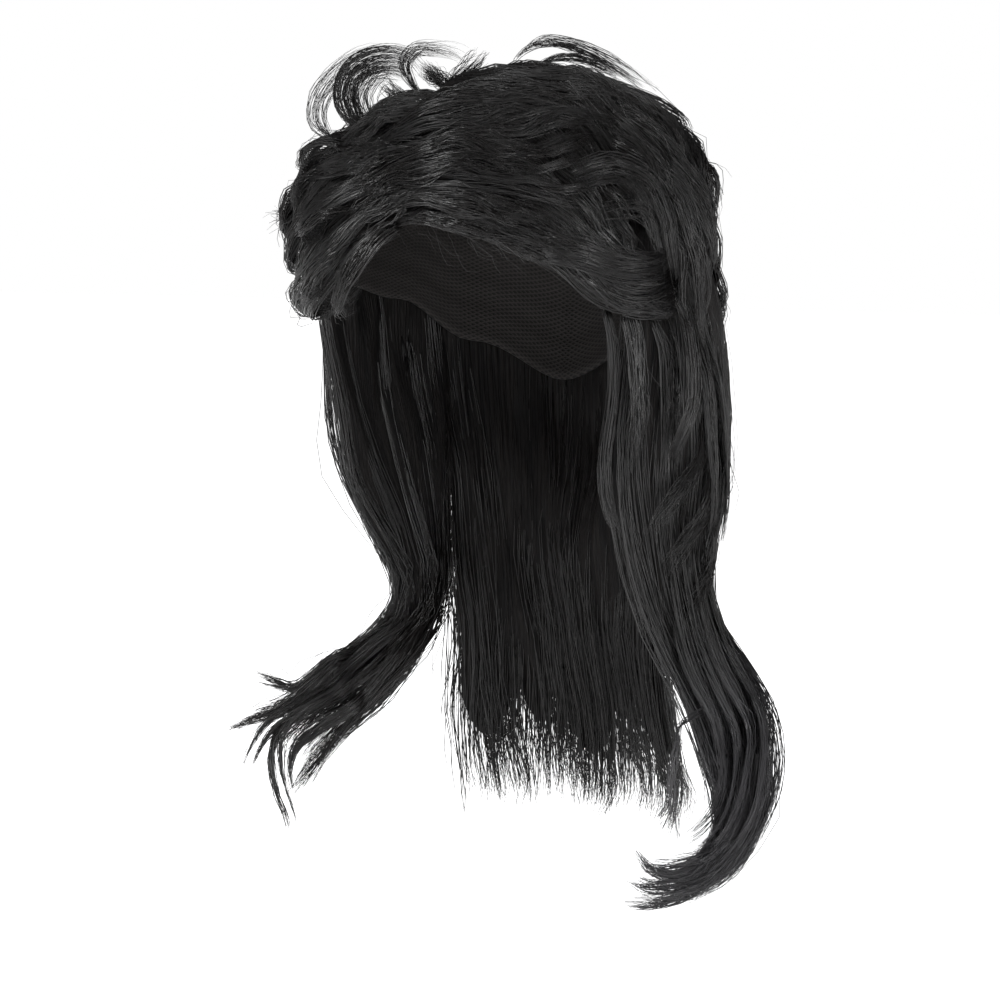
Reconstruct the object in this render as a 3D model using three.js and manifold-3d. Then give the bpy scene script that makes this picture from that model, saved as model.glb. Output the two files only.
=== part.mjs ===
// A layered mullet wig: a hollow cap, dense short hair next to it, and sheets of longer hair over that.
// Millimetres. The face looks along -Y, the wearer's left is +X, +Z is up.
// The origin is the inside top of the cap, where the crown of a head bears.
import * as THREE from "three";
import { mergeVertices } from "three/addons/utils/BufferGeometryUtils.js";
import Module from "manifold-3d";

const wasm = await Module();
wasm.setup();

// The cap, measured inside. The dome is an ellipsoid round a centre at the level of the ears.
const CAP_HALF_WIDTH = 78;
const CAP_HALF_LENGTH = 97;
const CAP_DOME = 100;
const CAP_WALL = 2;
const CAP_COLUMNS = 30;
const CAP_ROWS = 6;

// The dense short hair, which thins out to the rim of the cap.
const UNDER_DEPTH = 9;
const UNDER_RIM_DEPTH = 1.6;
const UNDER_THINS_FROM = 0.62;
const UNDER_REACH = 0.97;

// Left open between pieces that rest on each other, and kept clear where one is cut for another.
const SEAT_GAP = 0.3;
const CLEARANCE = 0.6;
const RIM_CLEARANCE = 1.006;

// A sheet of hair is ridged into locks: each has a crest between two valleys, and a pointed end.
const COLUMNS_PER_LOCK = 4;
const ROWS_PER_STATION = 1.3;
const VALLEY_SHORT = 0.13;
const TIP_THICK = 0.22;
const TIP_FROM = 0.72;
const TIP_SLOPE = 2;
const TIP_ONLY = 5;

// A loose curl is a few separate strips, joined at the roots by a stitched band.
const STRIP_SIDES = 6;
const BAND_AT = 0.06;
const BAND_WIDTH = 9;
const BAND_THICK = 7;
const BAND_STEPS = 2;

// Cuts leave no edge or sliver shorter than this.
const SMALLEST = 0.1;

// How far down from the crown the rim of the cap lies, by the turn from the face.
const CAP_RIM = [
  { turn: 0, down: 61 },
  { turn: 30, down: 65 },
  { turn: 55, down: 76 },
  { turn: 80, down: 87 },
  { turn: 110, down: 92 },
  { turn: 140, down: 106 },
  { turn: 180, down: 119 },
];

// Locks of a sheet, taken in turn: share of the sheet's breadth, height of the crest, shortfall of the end.
const LOCK_FORMS = [
  { share: 1.0, crest: 1.0, short: 0.02 },
  { share: 0.7, crest: 0.72, short: 0.09 },
  { share: 1.2, crest: 1.08, short: 0.0 },
  { share: 0.85, crest: 0.8, short: 0.06 },
  { share: 1.1, crest: 1.0, short: 0.03 },
  { share: 0.75, crest: 0.68, short: 0.1 },
  { share: 1.05, crest: 1.04, short: 0.01 },
];

// Hair groups. Stations run from the root to the tip of the hair, and the fan columns are added times
// -1 at one edge of the group and +1 at the other.
// On the head: side and over are the angles to the wearer's left and over the head from front to back,
// and lift is the height above the cap. Hanging: turn is the angle round from the face, out the distance
// from the upright axis of the head, up the height. Valley is the depth left between two crests, as a share.
const HAIR = {
  fringe_left: {
    locks: 6,
    valley: 0.45,
    firstForm: 0,
    stations: [
      { side: -17, fanSide: -14, over: 41, fanOver: 17, lift: 7, fanLift: 5, thick: 6 },
      { side: 12, fanSide: -6, over: 40, fanOver: 19, lift: 14, fanLift: 6, thick: 13 },
      { side: 37, fanSide: -2, over: 38, fanOver: 20, lift: 20, fanLift: 4, thick: 16 },
      { side: 57, fanSide: -3, over: 24, fanOver: 20, lift: 24, fanLift: 2, thick: 14 },
      { side: 71, fanSide: -9, over: 9, fanOver: 22, lift: 26, fanLift: 2, thick: 11 },
      { side: 79, fanSide: -11, over: 14, fanOver: 22, lift: 22, fanLift: 2, thick: 8 },
    ],
  },
  right_temple: {
    locks: 5,
    valley: 0.45,
    firstForm: 2,
    stations: [
      { side: -19, fanSide: 13, over: 40, fanOver: -18, lift: 7, fanLift: -5, thick: 6 },
      { side: -32, fanSide: 9, over: 35, fanOver: -22, lift: 15, fanLift: -4, thick: 13 },
      { side: -46, fanSide: 3, over: 27, fanOver: -25, lift: 22, fanLift: -5, thick: 16 },
      { side: -56, fanSide: 0, over: 20, fanOver: -25, lift: 28, fanLift: -8, thick: 15 },
      { side: -62, fanSide: -2, over: 15, fanOver: -25, lift: 30, fanLift: -9, thick: 13 },
      { side: -65, fanSide: -1, over: 8, fanOver: -24, lift: 23, fanLift: -8, thick: 9 },
    ],
  },
  crown_left: {
    locks: 5,
    valley: 0.5,
    firstForm: 1,
    stations: [
      { side: -28, fanSide: 4, over: 96, fanOver: 34, lift: 11, fanLift: 0, thick: 5 },
      { side: 0, fanSide: 0, over: 95, fanOver: 36, lift: 18, fanLift: 0, thick: 11 },
      { side: 30, fanSide: 0, over: 92, fanOver: 37, lift: 24, fanLift: 2, thick: 14 },
      { side: 55, fanSide: 0, over: 89, fanOver: 43, lift: 30, fanLift: 3, thick: 15 },
      { turn: 93, fan: 28, out: 111, flare: 4, up: -60, tilt: -4, thick: 14 },
      { turn: 97, fan: 30, out: 112, flare: 6, up: -88, tilt: -20, thick: 10 },
    ],
  },
  crown_right: {
    locks: 5,
    valley: 0.5,
    firstForm: 4,
    stations: [
      { side: -30, fanSide: -3, over: 92, fanOver: -36, lift: 9, fanLift: 0, thick: 5 },
      { side: -41, fanSide: -1, over: 90, fanOver: -38, lift: 18, fanLift: 0, thick: 12 },
      { side: -53, fanSide: 0, over: 87, fanOver: -42, lift: 25, fanLift: 0, thick: 15 },
      { side: -65, fanSide: 0, over: 86, fanOver: -47, lift: 29, fanLift: 0, thick: 15 },
      { turn: -95, fan: 25, out: 109, flare: 0, up: -72, tilt: 4, thick: 13 },
      { turn: -98, fan: 28, out: 107, flare: 0, up: -100, tilt: 14, thick: 9 },
    ],
  },
  crown_back: {
    locks: 6,
    valley: 0.5,
    firstForm: 3,
    stations: [
      { side: 0, fanSide: -46, over: 114, fanOver: 0, lift: 11, fanLift: 0, thick: 5 },
      { side: 0, fanSide: -54, over: 136, fanOver: 0, lift: 21, fanLift: 0, thick: 13 },
      { side: 0, fanSide: -62, over: 158, fanOver: 0, lift: 31, fanLift: 0, thick: 16 },
      { turn: 180, fan: 62, out: 112, flare: 0, up: -104, tilt: 0, thick: 15 },
      { turn: 180, fan: 60, out: 106, flare: 0, up: -160, tilt: 0, thick: 9 },
    ],
  },
  left_lengths: {
    locks: 6,
    valley: 0.68,
    firstForm: 5,
    stations: [
      { turn: 102, fan: 30, out: 90, flare: 0, up: -52, tilt: 0, thick: 6 },
      { turn: 102, fan: 30, out: 98, flare: 8, up: -118, tilt: 0, thick: 12 },
      { turn: 104, fan: 31, out: 104, flare: 20, up: -195, tilt: 0, thick: 15 },
      { turn: 106, fan: 22, out: 98, flare: 18, up: -260, tilt: 0, thick: 18 },
      { turn: 110, fan: 5, out: 121, flare: 21, up: -325, tilt: 0, thick: 23 },
      { turn: 101, fan: 3, out: 129, flare: 16, up: -372, tilt: 0, thick: 23 },
      { turn: 90, fan: 0, out: 119, flare: 12, up: -401, tilt: -8, thick: 20 },
      { turn: 72, fan: -2, out: 106, flare: 0, up: -396, tilt: -17, thick: 14 },
    ],
  },
  right_lengths: {
    locks: 5,
    valley: 0.68,
    firstForm: 2,
    stations: [
      { turn: -103, fan: 27, out: 90, flare: 0, up: -54, tilt: 0, thick: 6 },
      { turn: -107, fan: 25, out: 89, flare: 0, up: -122, tilt: 0, thick: 12 },
      { turn: -111, fan: 20, out: 82, flare: 0, up: -195, tilt: 0, thick: 14 },
      { turn: -114, fan: 11, out: 72, flare: 0, up: -258, tilt: 0, thick: 16 },
      { turn: -104, fan: 8, out: 86, flare: 3, up: -303, tilt: 10, thick: 20 },
      { turn: -88, fan: 4, out: 112, flare: 10, up: -335, tilt: 24, thick: 18 },
      { turn: -80, fan: 4, out: 132, flare: 20, up: -364, tilt: 36, thick: 12 },
    ],
  },
  back_lengths: {
    locks: 5,
    valley: 0.6,
    firstForm: 0,
    stations: [
      { turn: 180, fan: 56, out: 91, flare: 0, up: -82, tilt: 0, thick: 6 },
      { turn: 180, fan: 54, out: 92, flare: 0, up: -165, tilt: 0, thick: 13 },
      { turn: 180, fan: 48, out: 82, flare: 0, up: -230, tilt: 0, thick: 14 },
      { turn: 180, fan: 45, out: 86, flare: 0, up: -290, tilt: 0, thick: 15 },
      { turn: 180, fan: 43, out: 98, flare: 0, up: -345, tilt: 0, thick: 16 },
      { turn: 180, fan: 41, out: 105, flare: 0, up: -385, tilt: 0, thick: 14 },
      { turn: 180, fan: 40, out: 98, flare: 0, up: -405, tilt: 0, thick: 9 },
    ],
  },
};

// Loose curls that stand clear of the crown, in the same columns, with the width of each strip.
const LOOSE_CURLS = {
  loop_right: {
    strips: 3,
    stations: [
      { side: -12, fanSide: 0, over: 93, fanOver: 8, lift: 8, fanLift: 0, thick: 7, width: 13 },
      { side: -21, fanSide: 0, over: 86, fanOver: 9, lift: 29, fanLift: 0, thick: 6, width: 12 },
      { side: -31, fanSide: 0, over: 79, fanOver: 10, lift: 41, fanLift: 0, thick: 6, width: 12 },
      { side: -39, fanSide: 0, over: 70, fanOver: 11, lift: 44, fanLift: 0, thick: 5, width: 11 },
      { side: -46, fanSide: 0, over: 60, fanOver: 11, lift: 41, fanLift: 0, thick: 4, width: 8 },
      { side: -50, fanSide: 0, over: 53, fanOver: 11, lift: 35, fanLift: 0, thick: 4, width: 5 },
    ],
  },
  loop_left: {
    strips: 3,
    stations: [
      { side: 0, fanSide: 0, over: 93, fanOver: 8, lift: 8, fanLift: 0, thick: 7, width: 13 },
      { side: 4, fanSide: 0, over: 95, fanOver: 8, lift: 26, fanLift: 0, thick: 6, width: 12 },
      { side: 13, fanSide: 0, over: 99, fanOver: 9, lift: 35, fanLift: 0, thick: 6, width: 12 },
      { side: 26, fanSide: 0, over: 105, fanOver: 10, lift: 38, fanLift: 0, thick: 5, width: 11 },
      { side: 41, fanSide: 0, over: 113, fanOver: 10, lift: 41, fanLift: 0, thick: 4, width: 5 },
    ],
  },
};

const HEAD_LONG = (CAP_HALF_LENGTH + CAP_WALL) / (CAP_HALF_WIDTH + CAP_WALL);
const CAP_FINISH = { color: 0x1d1a1a, roughness: 0.85, metalness: 0 };
const UNDER_FINISH = { color: 0x0d0d0e, roughness: 0.7, metalness: 0 };
const HAIR_FINISH = { color: 0x131315, roughness: 0.42, metalness: 0 };

const { degToRad, lerp, radToDeg, smoothstep } = THREE.MathUtils;

// A point above the inside of the cap: down is the angle from the crown, turn the angle from the face.
function onDome(down, turn, lift) {
  const polar = degToRad(down);
  const round = degToRad(turn);
  return new THREE.Vector3(
    (CAP_HALF_WIDTH + lift) * Math.sin(polar) * Math.sin(round),
    -(CAP_HALF_LENGTH + lift) * Math.sin(polar) * Math.cos(round),
    -CAP_DOME + (CAP_DOME + lift) * Math.cos(polar),
  );
}

// A point above the cap by its angle over the head from the front and its angle to the wearer's left.
function onHead(over, side, lift) {
  const raised = lift + CAP_WALL;
  const upright = degToRad(over);
  const aside = degToRad(side);
  return new THREE.Vector3(
    (CAP_HALF_WIDTH + raised) * Math.sin(aside),
    -(CAP_HALF_LENGTH + raised) * Math.cos(aside) * Math.cos(upright),
    -CAP_DOME + (CAP_DOME + raised) * Math.cos(aside) * Math.sin(upright),
  );
}

// A point in the hanging hair. The distance out is measured at the ears and grows to the front and back.
function hanging(turn, out, up) {
  const round = degToRad(turn);
  return new THREE.Vector3(out * Math.sin(round), -out * HEAD_LONG * Math.cos(round), up);
}

// The angle down from the crown at which the rim lies, eased between the rows of the table.
function rimDown(turn) {
  const round = Math.abs(turn);
  const next = CAP_RIM.findIndex((row) => row.turn > 0 && row.turn >= round);
  const from = CAP_RIM[next - 1];
  const to = CAP_RIM[next];
  return lerp(from.down, to.down, smoothstep(round, from.turn, to.turn));
}

// A closed solid for joining and cutting, from a closed three.js geometry.
function solidOf(geometry) {
  geometry.deleteAttribute("normal");
  geometry.deleteAttribute("uv");
  const merged = mergeVertices(geometry, 1e-3);
  const index = merged.index.array;
  const faces = [];
  for (let i = 0; i < index.length; i += 3) {
    const [a, b, c] = [index[i], index[i + 1], index[i + 2]];
    if (a !== b && b !== c && c !== a) {
      faces.push(a, b, c);
    }
  }
  return new wasm.Manifold(new wasm.Mesh({
    numProp: 3,
    vertProperties: new Float32Array(merged.attributes.position.array),
    triVerts: new Uint32Array(faces),
  }));
}

// A disc-shaped wall wrapped over the head, from one height above the inside of the cap to another.
// Its edge lies at a share of the way from the crown to the rim of the cap.
function domeWall(inner, outer, reach = 1) {
  const profile = [];
  for (let i = 0; i <= CAP_ROWS; i += 1) {
    profile.push(new THREE.Vector2(i / CAP_ROWS, 0));
  }
  for (let i = CAP_ROWS; i >= 0; i -= 1) {
    profile.push(new THREE.Vector2(i / CAP_ROWS, 1));
  }
  const geometry = new THREE.LatheGeometry(profile, CAP_COLUMNS);
  const position = geometry.attributes.position;
  for (let i = 0; i < position.count; i += 1) {
    const fraction = Math.hypot(position.getX(i), position.getZ(i));
    const turn = radToDeg(Math.atan2(position.getX(i), position.getZ(i)));
    const lift = position.getY(i) > 0.5 ? outer(fraction) : inner(fraction);
    const point = onDome(fraction * reach * rimDown(turn), turn, lift);
    position.setXYZ(i, point.x, point.y, point.z);
  }
  return solidOf(geometry);
}

// Outside of the short hair above the inside of the cap, which thins out to the rim.
function underTop(fraction) {
  const depth = lerp(UNDER_DEPTH, UNDER_RIM_DEPTH, smoothstep(fraction, UNDER_THINS_FROM, 1));
  return CAP_WALL + SEAT_GAP + depth;
}

// Where one station of a group lies, at a place across the group from -1 to +1.
function stationPoint(row, across) {
  if ("over" in row) {
    return onHead(
      row.over + across * row.fanOver,
      row.side + across * row.fanSide,
      row.lift + across * row.fanLift,
    );
  }
  return hanging(row.turn + across * row.fan, row.out + across * row.flare, row.up + across * row.tilt);
}

// The smooth line that hair follows from root to tip.
function guide(stations, across) {
  const points = stations.map((row) => stationPoint(row, across));
  return new THREE.CatmullRomCurve3(points, false, "catmullrom", 0.5);
}

// A size from the station table at a fraction of the way from root to tip.
function sizeAt(stations, along, column) {
  const place = along * (stations.length - 1);
  const from = Math.min(Math.floor(place), stations.length - 2);
  return lerp(stations[from][column], stations[from + 1][column], place - from);
}

// Position of the hair at a place along and across its group, with the directions along it,
// across the group and out of it.
function frameAt(stations, along, across) {
  const line = guide(stations, across);
  const tangent = line.getTangent(along);
  const wide = guide(stations, across + 0.1).getPoint(along);
  wide.sub(guide(stations, across - 0.1).getPoint(along));
  wide.addScaledVector(tangent, -wide.dot(tangent)).normalize();
  return { centre: line.getPoint(along), tangent, wide, thin: tangent.clone().cross(wide) };
}

// Columns across a sheet: place from -1 to +1, height from valley to crest, and shortfall at the end.
function lockColumns({ locks, valley, firstForm }) {
  const forms = Array.from({ length: locks }, (_, i) => LOCK_FORMS[(firstForm + i) % LOCK_FORMS.length]);
  const total = forms.reduce((sum, form) => sum + form.share, 0);
  const columns = [];
  let start = 0;
  for (const form of forms) {
    for (let i = 0; i < COLUMNS_PER_LOCK; i += 1) {
      const share = i / COLUMNS_PER_LOCK;
      const rise = Math.sin(Math.PI * share);
      columns.push({
        across: lerp(-1, 1, (start + form.share * share) / total),
        crest: lerp(valley, form.crest, rise),
        short: form.short + VALLEY_SHORT * (1 - rise),
      });
    }
    start += form.share;
  }
  columns.push({ across: 1, crest: valley, short: VALLEY_SHORT });
  return columns;
}

// A sheet of hair as one solid, made larger all round where asked: a segmented box laid along the guides.
function sheet(group, grow) {
  const { stations } = group;
  const columns = lockColumns(group);
  const last = columns.length - 1;
  const rows = Math.round((stations.length - 1) * ROWS_PER_STATION);
  const geometry = new THREE.BoxGeometry(1, 1, 1, last, rows, 1);
  const position = geometry.attributes.position;
  for (let i = 0; i < position.count; i += 1) {
    const place = Math.round((position.getX(i) + 0.5) * last);
    const column = columns[place];
    const share = 0.5 - position.getY(i);
    const face = Math.sign(position.getZ(i));
    const { tangent, wide, thin } = frameAt(stations, share, column.across);
    const centre = guide(stations, column.across).getPoint(share - column.short * share ** TIP_ONLY);
    const taper = lerp(1, TIP_THICK, smoothstep(share, TIP_FROM, 1));
    const depth = sizeAt(stations, share, "thick") * taper / 2;
    const edge = place === 0 ? -1 : Math.floor(place / last);
    const end = share > 0.999 ? TIP_SLOPE : -Math.floor(1 - share);
    centre.addScaledVector(thin, face * (depth * (face > 0 ? column.crest : 1) + grow));
    centre.addScaledVector(wide, edge * grow);
    centre.addScaledVector(tangent, end * grow);
    position.setXYZ(i, centre.x, centre.y, centre.z);
  }
  return solidOf(geometry);
}

// A closed strip through the sections: a unit cylinder bent along them and flattened.
function strip(sections, grow) {
  const steps = sections.length - 1;
  const geometry = new THREE.CylinderGeometry(1, 1, 1, STRIP_SIDES, steps);
  const position = geometry.attributes.position;
  for (let i = 0; i < position.count; i += 1) {
    const row = Math.round((0.5 - position.getY(i)) * steps);
    const { centre, tangent, wide, thin, width, thick } = sections[row];
    const end = row === 0 ? -1 : Math.floor(row / steps);
    const point = centre.clone().addScaledVector(tangent, end * grow);
    point.addScaledVector(wide, position.getX(i) * (width / 2 + grow));
    point.addScaledVector(thin, position.getZ(i) * (thick / 2 + grow));
    position.setXYZ(i, point.x, point.y, point.z);
  }
  return solidOf(geometry);
}

// A loose curl as one solid, made larger all round where asked.
function looseCurl({ strips, stations }, grow) {
  const steps = Math.round(stations.length * ROWS_PER_STATION);
  const solids = [];
  for (let i = 0; i < strips; i += 1) {
    const across = lerp(-1, 1, i / (strips - 1));
    const sections = [];
    for (let j = 0; j <= steps; j += 1) {
      const along = j / steps;
      sections.push({
        ...frameAt(stations, along, across),
        width: sizeAt(stations, along, "width"),
        thick: sizeAt(stations, along, "thick"),
      });
    }
    solids.push(strip(sections, grow));
  }
  const band = [];
  for (let i = 0; i <= BAND_STEPS; i += 1) {
    const { centre, tangent, wide, thin } = frameAt(stations, BAND_AT, lerp(-1, 1, i / BAND_STEPS));
    band.push({ centre, wide: tangent, thin: thin.negate(), tangent: wide, width: BAND_WIDTH, thick: BAND_THICK });
  }
  solids.push(strip(band, grow));
  return wasm.Manifold.union(solids);
}

// The largest body of a cut solid, without the slivers that a cut leaves.
function mainBody(solid) {
  const bodies = solid.simplify(SMALLEST).decompose();
  bodies.sort((a, b) => b.volume() - a.volume());
  return bodies[0];
}

// A named mesh for one piece.
function piece(name, solid, finish) {
  const { vertProperties, triVerts } = solid.getMesh();
  const geometry = new THREE.BufferGeometry();
  geometry.setAttribute("position", new THREE.BufferAttribute(new Float32Array(vertProperties), 3));
  geometry.setIndex(new THREE.BufferAttribute(new Uint32Array(triVerts), 1));
  geometry.computeVertexNormals();
  const mesh = new THREE.Mesh(geometry, new THREE.MeshStandardMaterial(finish));
  mesh.name = name;
  return mesh;
}

const cap = domeWall(() => 0, () => CAP_WALL);
const underBlank = domeWall(() => -UNDER_DEPTH, underTop, UNDER_REACH);
const underHair = mainBody(underBlank.subtract(domeWall(() => -2 * UNDER_DEPTH, () => CAP_WALL + SEAT_GAP)));
const capRoom = domeWall(() => -2 * UNDER_DEPTH, () => CAP_WALL + CLEARANCE, RIM_CLEARANCE);
const underRoom = domeWall(
  () => -UNDER_DEPTH,
  (fraction) => underTop(fraction) + CLEARANCE,
  UNDER_REACH * RIM_CLEARANCE,
);

const wig = new THREE.Group();
wig.name = "mullet_wig";
wig.add(piece("wig_cap", cap, CAP_FINISH));
wig.add(piece("under_hair", underHair, UNDER_FINISH));

// Where two groups cross, the one made first keeps its form and the next is cut clear of it.
let taken = capRoom.add(underRoom);
for (const [name, curl] of Object.entries(LOOSE_CURLS)) {
  wig.add(piece(name, mainBody(looseCurl(curl, 0).subtract(taken)), HAIR_FINISH));
  taken = taken.add(looseCurl(curl, CLEARANCE));
}
for (const [name, group] of Object.entries(HAIR)) {
  wig.add(piece(name, mainBody(sheet(group, 0).subtract(taken)), HAIR_FINISH));
  taken = taken.add(sheet(group, CLEARANCE));
}

export default wig;
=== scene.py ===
"""Looks of a layered mullet wig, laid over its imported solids.

Metres. The face looks along -Y, the wearer's left is +X and +Z is up, with the origin at the inside top
of the cap. The hair tables are in millimetres and degrees. Those of the sheets follow the solids' own
tables, drawn in a little at the right temple, over the crown and towards the ends of the lengths, where the
photograph is tighter. The locks that lie apart have lines of their own.
"""

import logging
import math
from dataclasses import dataclass, field, replace
from enum import Enum

import bmesh
import bpy
import numpy as np
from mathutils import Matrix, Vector

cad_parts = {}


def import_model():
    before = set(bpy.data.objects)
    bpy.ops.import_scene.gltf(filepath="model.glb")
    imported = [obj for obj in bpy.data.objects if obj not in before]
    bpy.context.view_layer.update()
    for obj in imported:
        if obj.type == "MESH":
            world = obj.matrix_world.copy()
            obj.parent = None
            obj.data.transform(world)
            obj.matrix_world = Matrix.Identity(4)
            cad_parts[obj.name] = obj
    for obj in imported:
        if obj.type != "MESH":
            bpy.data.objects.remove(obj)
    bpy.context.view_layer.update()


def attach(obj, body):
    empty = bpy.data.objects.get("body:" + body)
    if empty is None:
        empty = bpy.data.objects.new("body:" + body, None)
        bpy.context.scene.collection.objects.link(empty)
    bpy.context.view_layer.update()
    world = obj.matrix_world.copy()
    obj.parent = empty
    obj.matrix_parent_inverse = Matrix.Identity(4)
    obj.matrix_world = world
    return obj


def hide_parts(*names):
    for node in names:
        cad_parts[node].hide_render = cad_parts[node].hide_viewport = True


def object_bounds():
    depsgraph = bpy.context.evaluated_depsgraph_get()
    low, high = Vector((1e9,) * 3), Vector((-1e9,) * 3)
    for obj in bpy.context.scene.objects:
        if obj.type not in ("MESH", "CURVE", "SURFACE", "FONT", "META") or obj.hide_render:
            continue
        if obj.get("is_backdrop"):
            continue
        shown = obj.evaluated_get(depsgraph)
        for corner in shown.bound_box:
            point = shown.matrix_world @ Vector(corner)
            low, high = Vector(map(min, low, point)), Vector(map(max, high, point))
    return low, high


LOG = logging.getLogger("mullet_wig")
MM = 0.001
FIBRE_MAP = "OFBake"
TONE_COLUMNS = 64


def ease(value: np.ndarray, low: float | np.ndarray, high: float | np.ndarray) -> np.ndarray:
    """Smooth step from 0 to 1.

    Args:
        value: Numbers to ease.
        low: Where the step leaves 0.
        high: Where the step reaches 1.

    Returns:
        The eased numbers.
    """
    share = np.clip((value - low) / (high - low), 0.0, 1.0)
    return share * share * (3.0 - 2.0 * share)


def unit(vectors: np.ndarray) -> np.ndarray:
    """Vectors of length 1 along the last axis."""
    return vectors / np.maximum(np.linalg.norm(vectors, axis=-1, keepdims=True), 1e-9)


def add_object(name: str, data: bpy.types.ID) -> bpy.types.Object:
    """Puts a mesh, a light or a camera in the scene.

    Args:
        name: Name of the object.
        data: What it holds.

    Returns:
        The object, at the origin.
    """
    made = bpy.data.objects.new(name, data)
    bpy.context.scene.collection.objects.link(made)
    return made


@dataclass(frozen=True)
class Head:
    """The ellipsoid that the inside of the cap follows, round a centre at the level of the ears."""

    half_width: float = 78.0
    half_length: float = 97.0
    dome: float = 100.0
    wall: float = 2.0
    rim_turns: tuple[float, ...] = (0.0, 30.0, 55.0, 80.0, 110.0, 140.0, 180.0)
    rim_downs: tuple[float, ...] = (61.0, 65.0, 76.0, 87.0, 92.0, 106.0, 119.0)

    def above(self, over: np.ndarray, side: np.ndarray, lift: np.ndarray) -> np.ndarray:
        """Places above the cap.

        Args:
            over: Angles over the head from front to back.
            side: Angles to the wearer's left.
            lift: Heights above the cap.

        Returns:
            Points in millimetres, along a new last axis.
        """
        raised = np.asarray(lift) + self.wall
        upright, aside = np.radians(over), np.radians(side)
        parts = np.broadcast_arrays(
            (self.half_width + raised) * np.sin(aside),
            -(self.half_length + raised) * np.cos(aside) * np.cos(upright),
            -self.dome + (self.dome + raised) * np.cos(aside) * np.sin(upright),
        )
        return np.stack(parts, axis=-1)

    def round(self, turn: np.ndarray, out: np.ndarray, up: np.ndarray) -> np.ndarray:
        """Places in the hanging hair.

        Args:
            turn: Angles round from the face.
            out: Distances from the upright axis of the head, measured at the ears.
            up: Heights.

        Returns:
            Points in millimetres, along a new last axis.
        """
        longer = (self.half_length + self.wall) / (self.half_width + self.wall)
        angle = np.radians(turn)
        parts = np.broadcast_arrays(out * np.sin(angle), -longer * out * np.cos(angle), up)
        return np.stack(parts, axis=-1).astype(float)

    def on_dome(self, down: np.ndarray, turn: np.ndarray, lift: np.ndarray) -> np.ndarray:
        """Places above the inside of the cap.

        Args:
            down: Angles from the crown.
            turn: Angles round from the face.
            lift: Heights above the inside of the cap.

        Returns:
            Points in millimetres, along a new last axis.
        """
        polar, angle = np.radians(down), np.radians(turn)
        parts = np.broadcast_arrays(
            (self.half_width + lift) * np.sin(polar) * np.sin(angle),
            -(self.half_length + lift) * np.sin(polar) * np.cos(angle),
            -self.dome + (self.dome + lift) * np.cos(polar),
        )
        return np.stack(parts, axis=-1)

    def rim_down(self, turn: np.ndarray) -> np.ndarray:
        """Angle down from the crown at which the rim of the cap lies, eased between the rows of its table."""
        turned = np.abs(turn)
        turns, downs = np.array(self.rim_turns), np.array(self.rim_downs)
        after = np.clip(np.searchsorted(turns, turned), 1, len(turns) - 1)
        share = ease(turned, turns[after - 1], turns[after])
        return downs[after - 1] + (downs[after] - downs[after - 1]) * share


HEAD = Head()


@dataclass(frozen=True)
class OnHead:
    """A station of hair that lies on the head. The fan fields count times the place across, from -1 to +1."""

    side: float
    fan_side: float
    over: float
    fan_over: float
    lift: float
    fan_lift: float
    thick: float

    def at(self, across: np.ndarray) -> np.ndarray:
        """Points of the station at places across the group."""
        over = self.over + across * self.fan_over
        side = self.side + across * self.fan_side
        return HEAD.above(over, side, self.lift + across * self.fan_lift)


@dataclass(frozen=True)
class Hanging:
    """A station of hair that hangs. The fan, flare and tilt fields count times the place across."""

    turn: float
    fan: float
    out: float
    flare: float
    up: float
    tilt: float
    thick: float

    def at(self, across: np.ndarray) -> np.ndarray:
        """Points of the station at places across the group."""
        turn = self.turn + across * self.fan
        return HEAD.round(turn, self.out + across * self.flare, self.up + across * self.tilt)


Station = OnHead | Hanging


@dataclass
class Spots:
    """Places in a group of hair, with the directions across it and out of it, and its thickness."""

    centre: np.ndarray
    wide: np.ndarray
    thin: np.ndarray
    thick: np.ndarray


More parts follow.
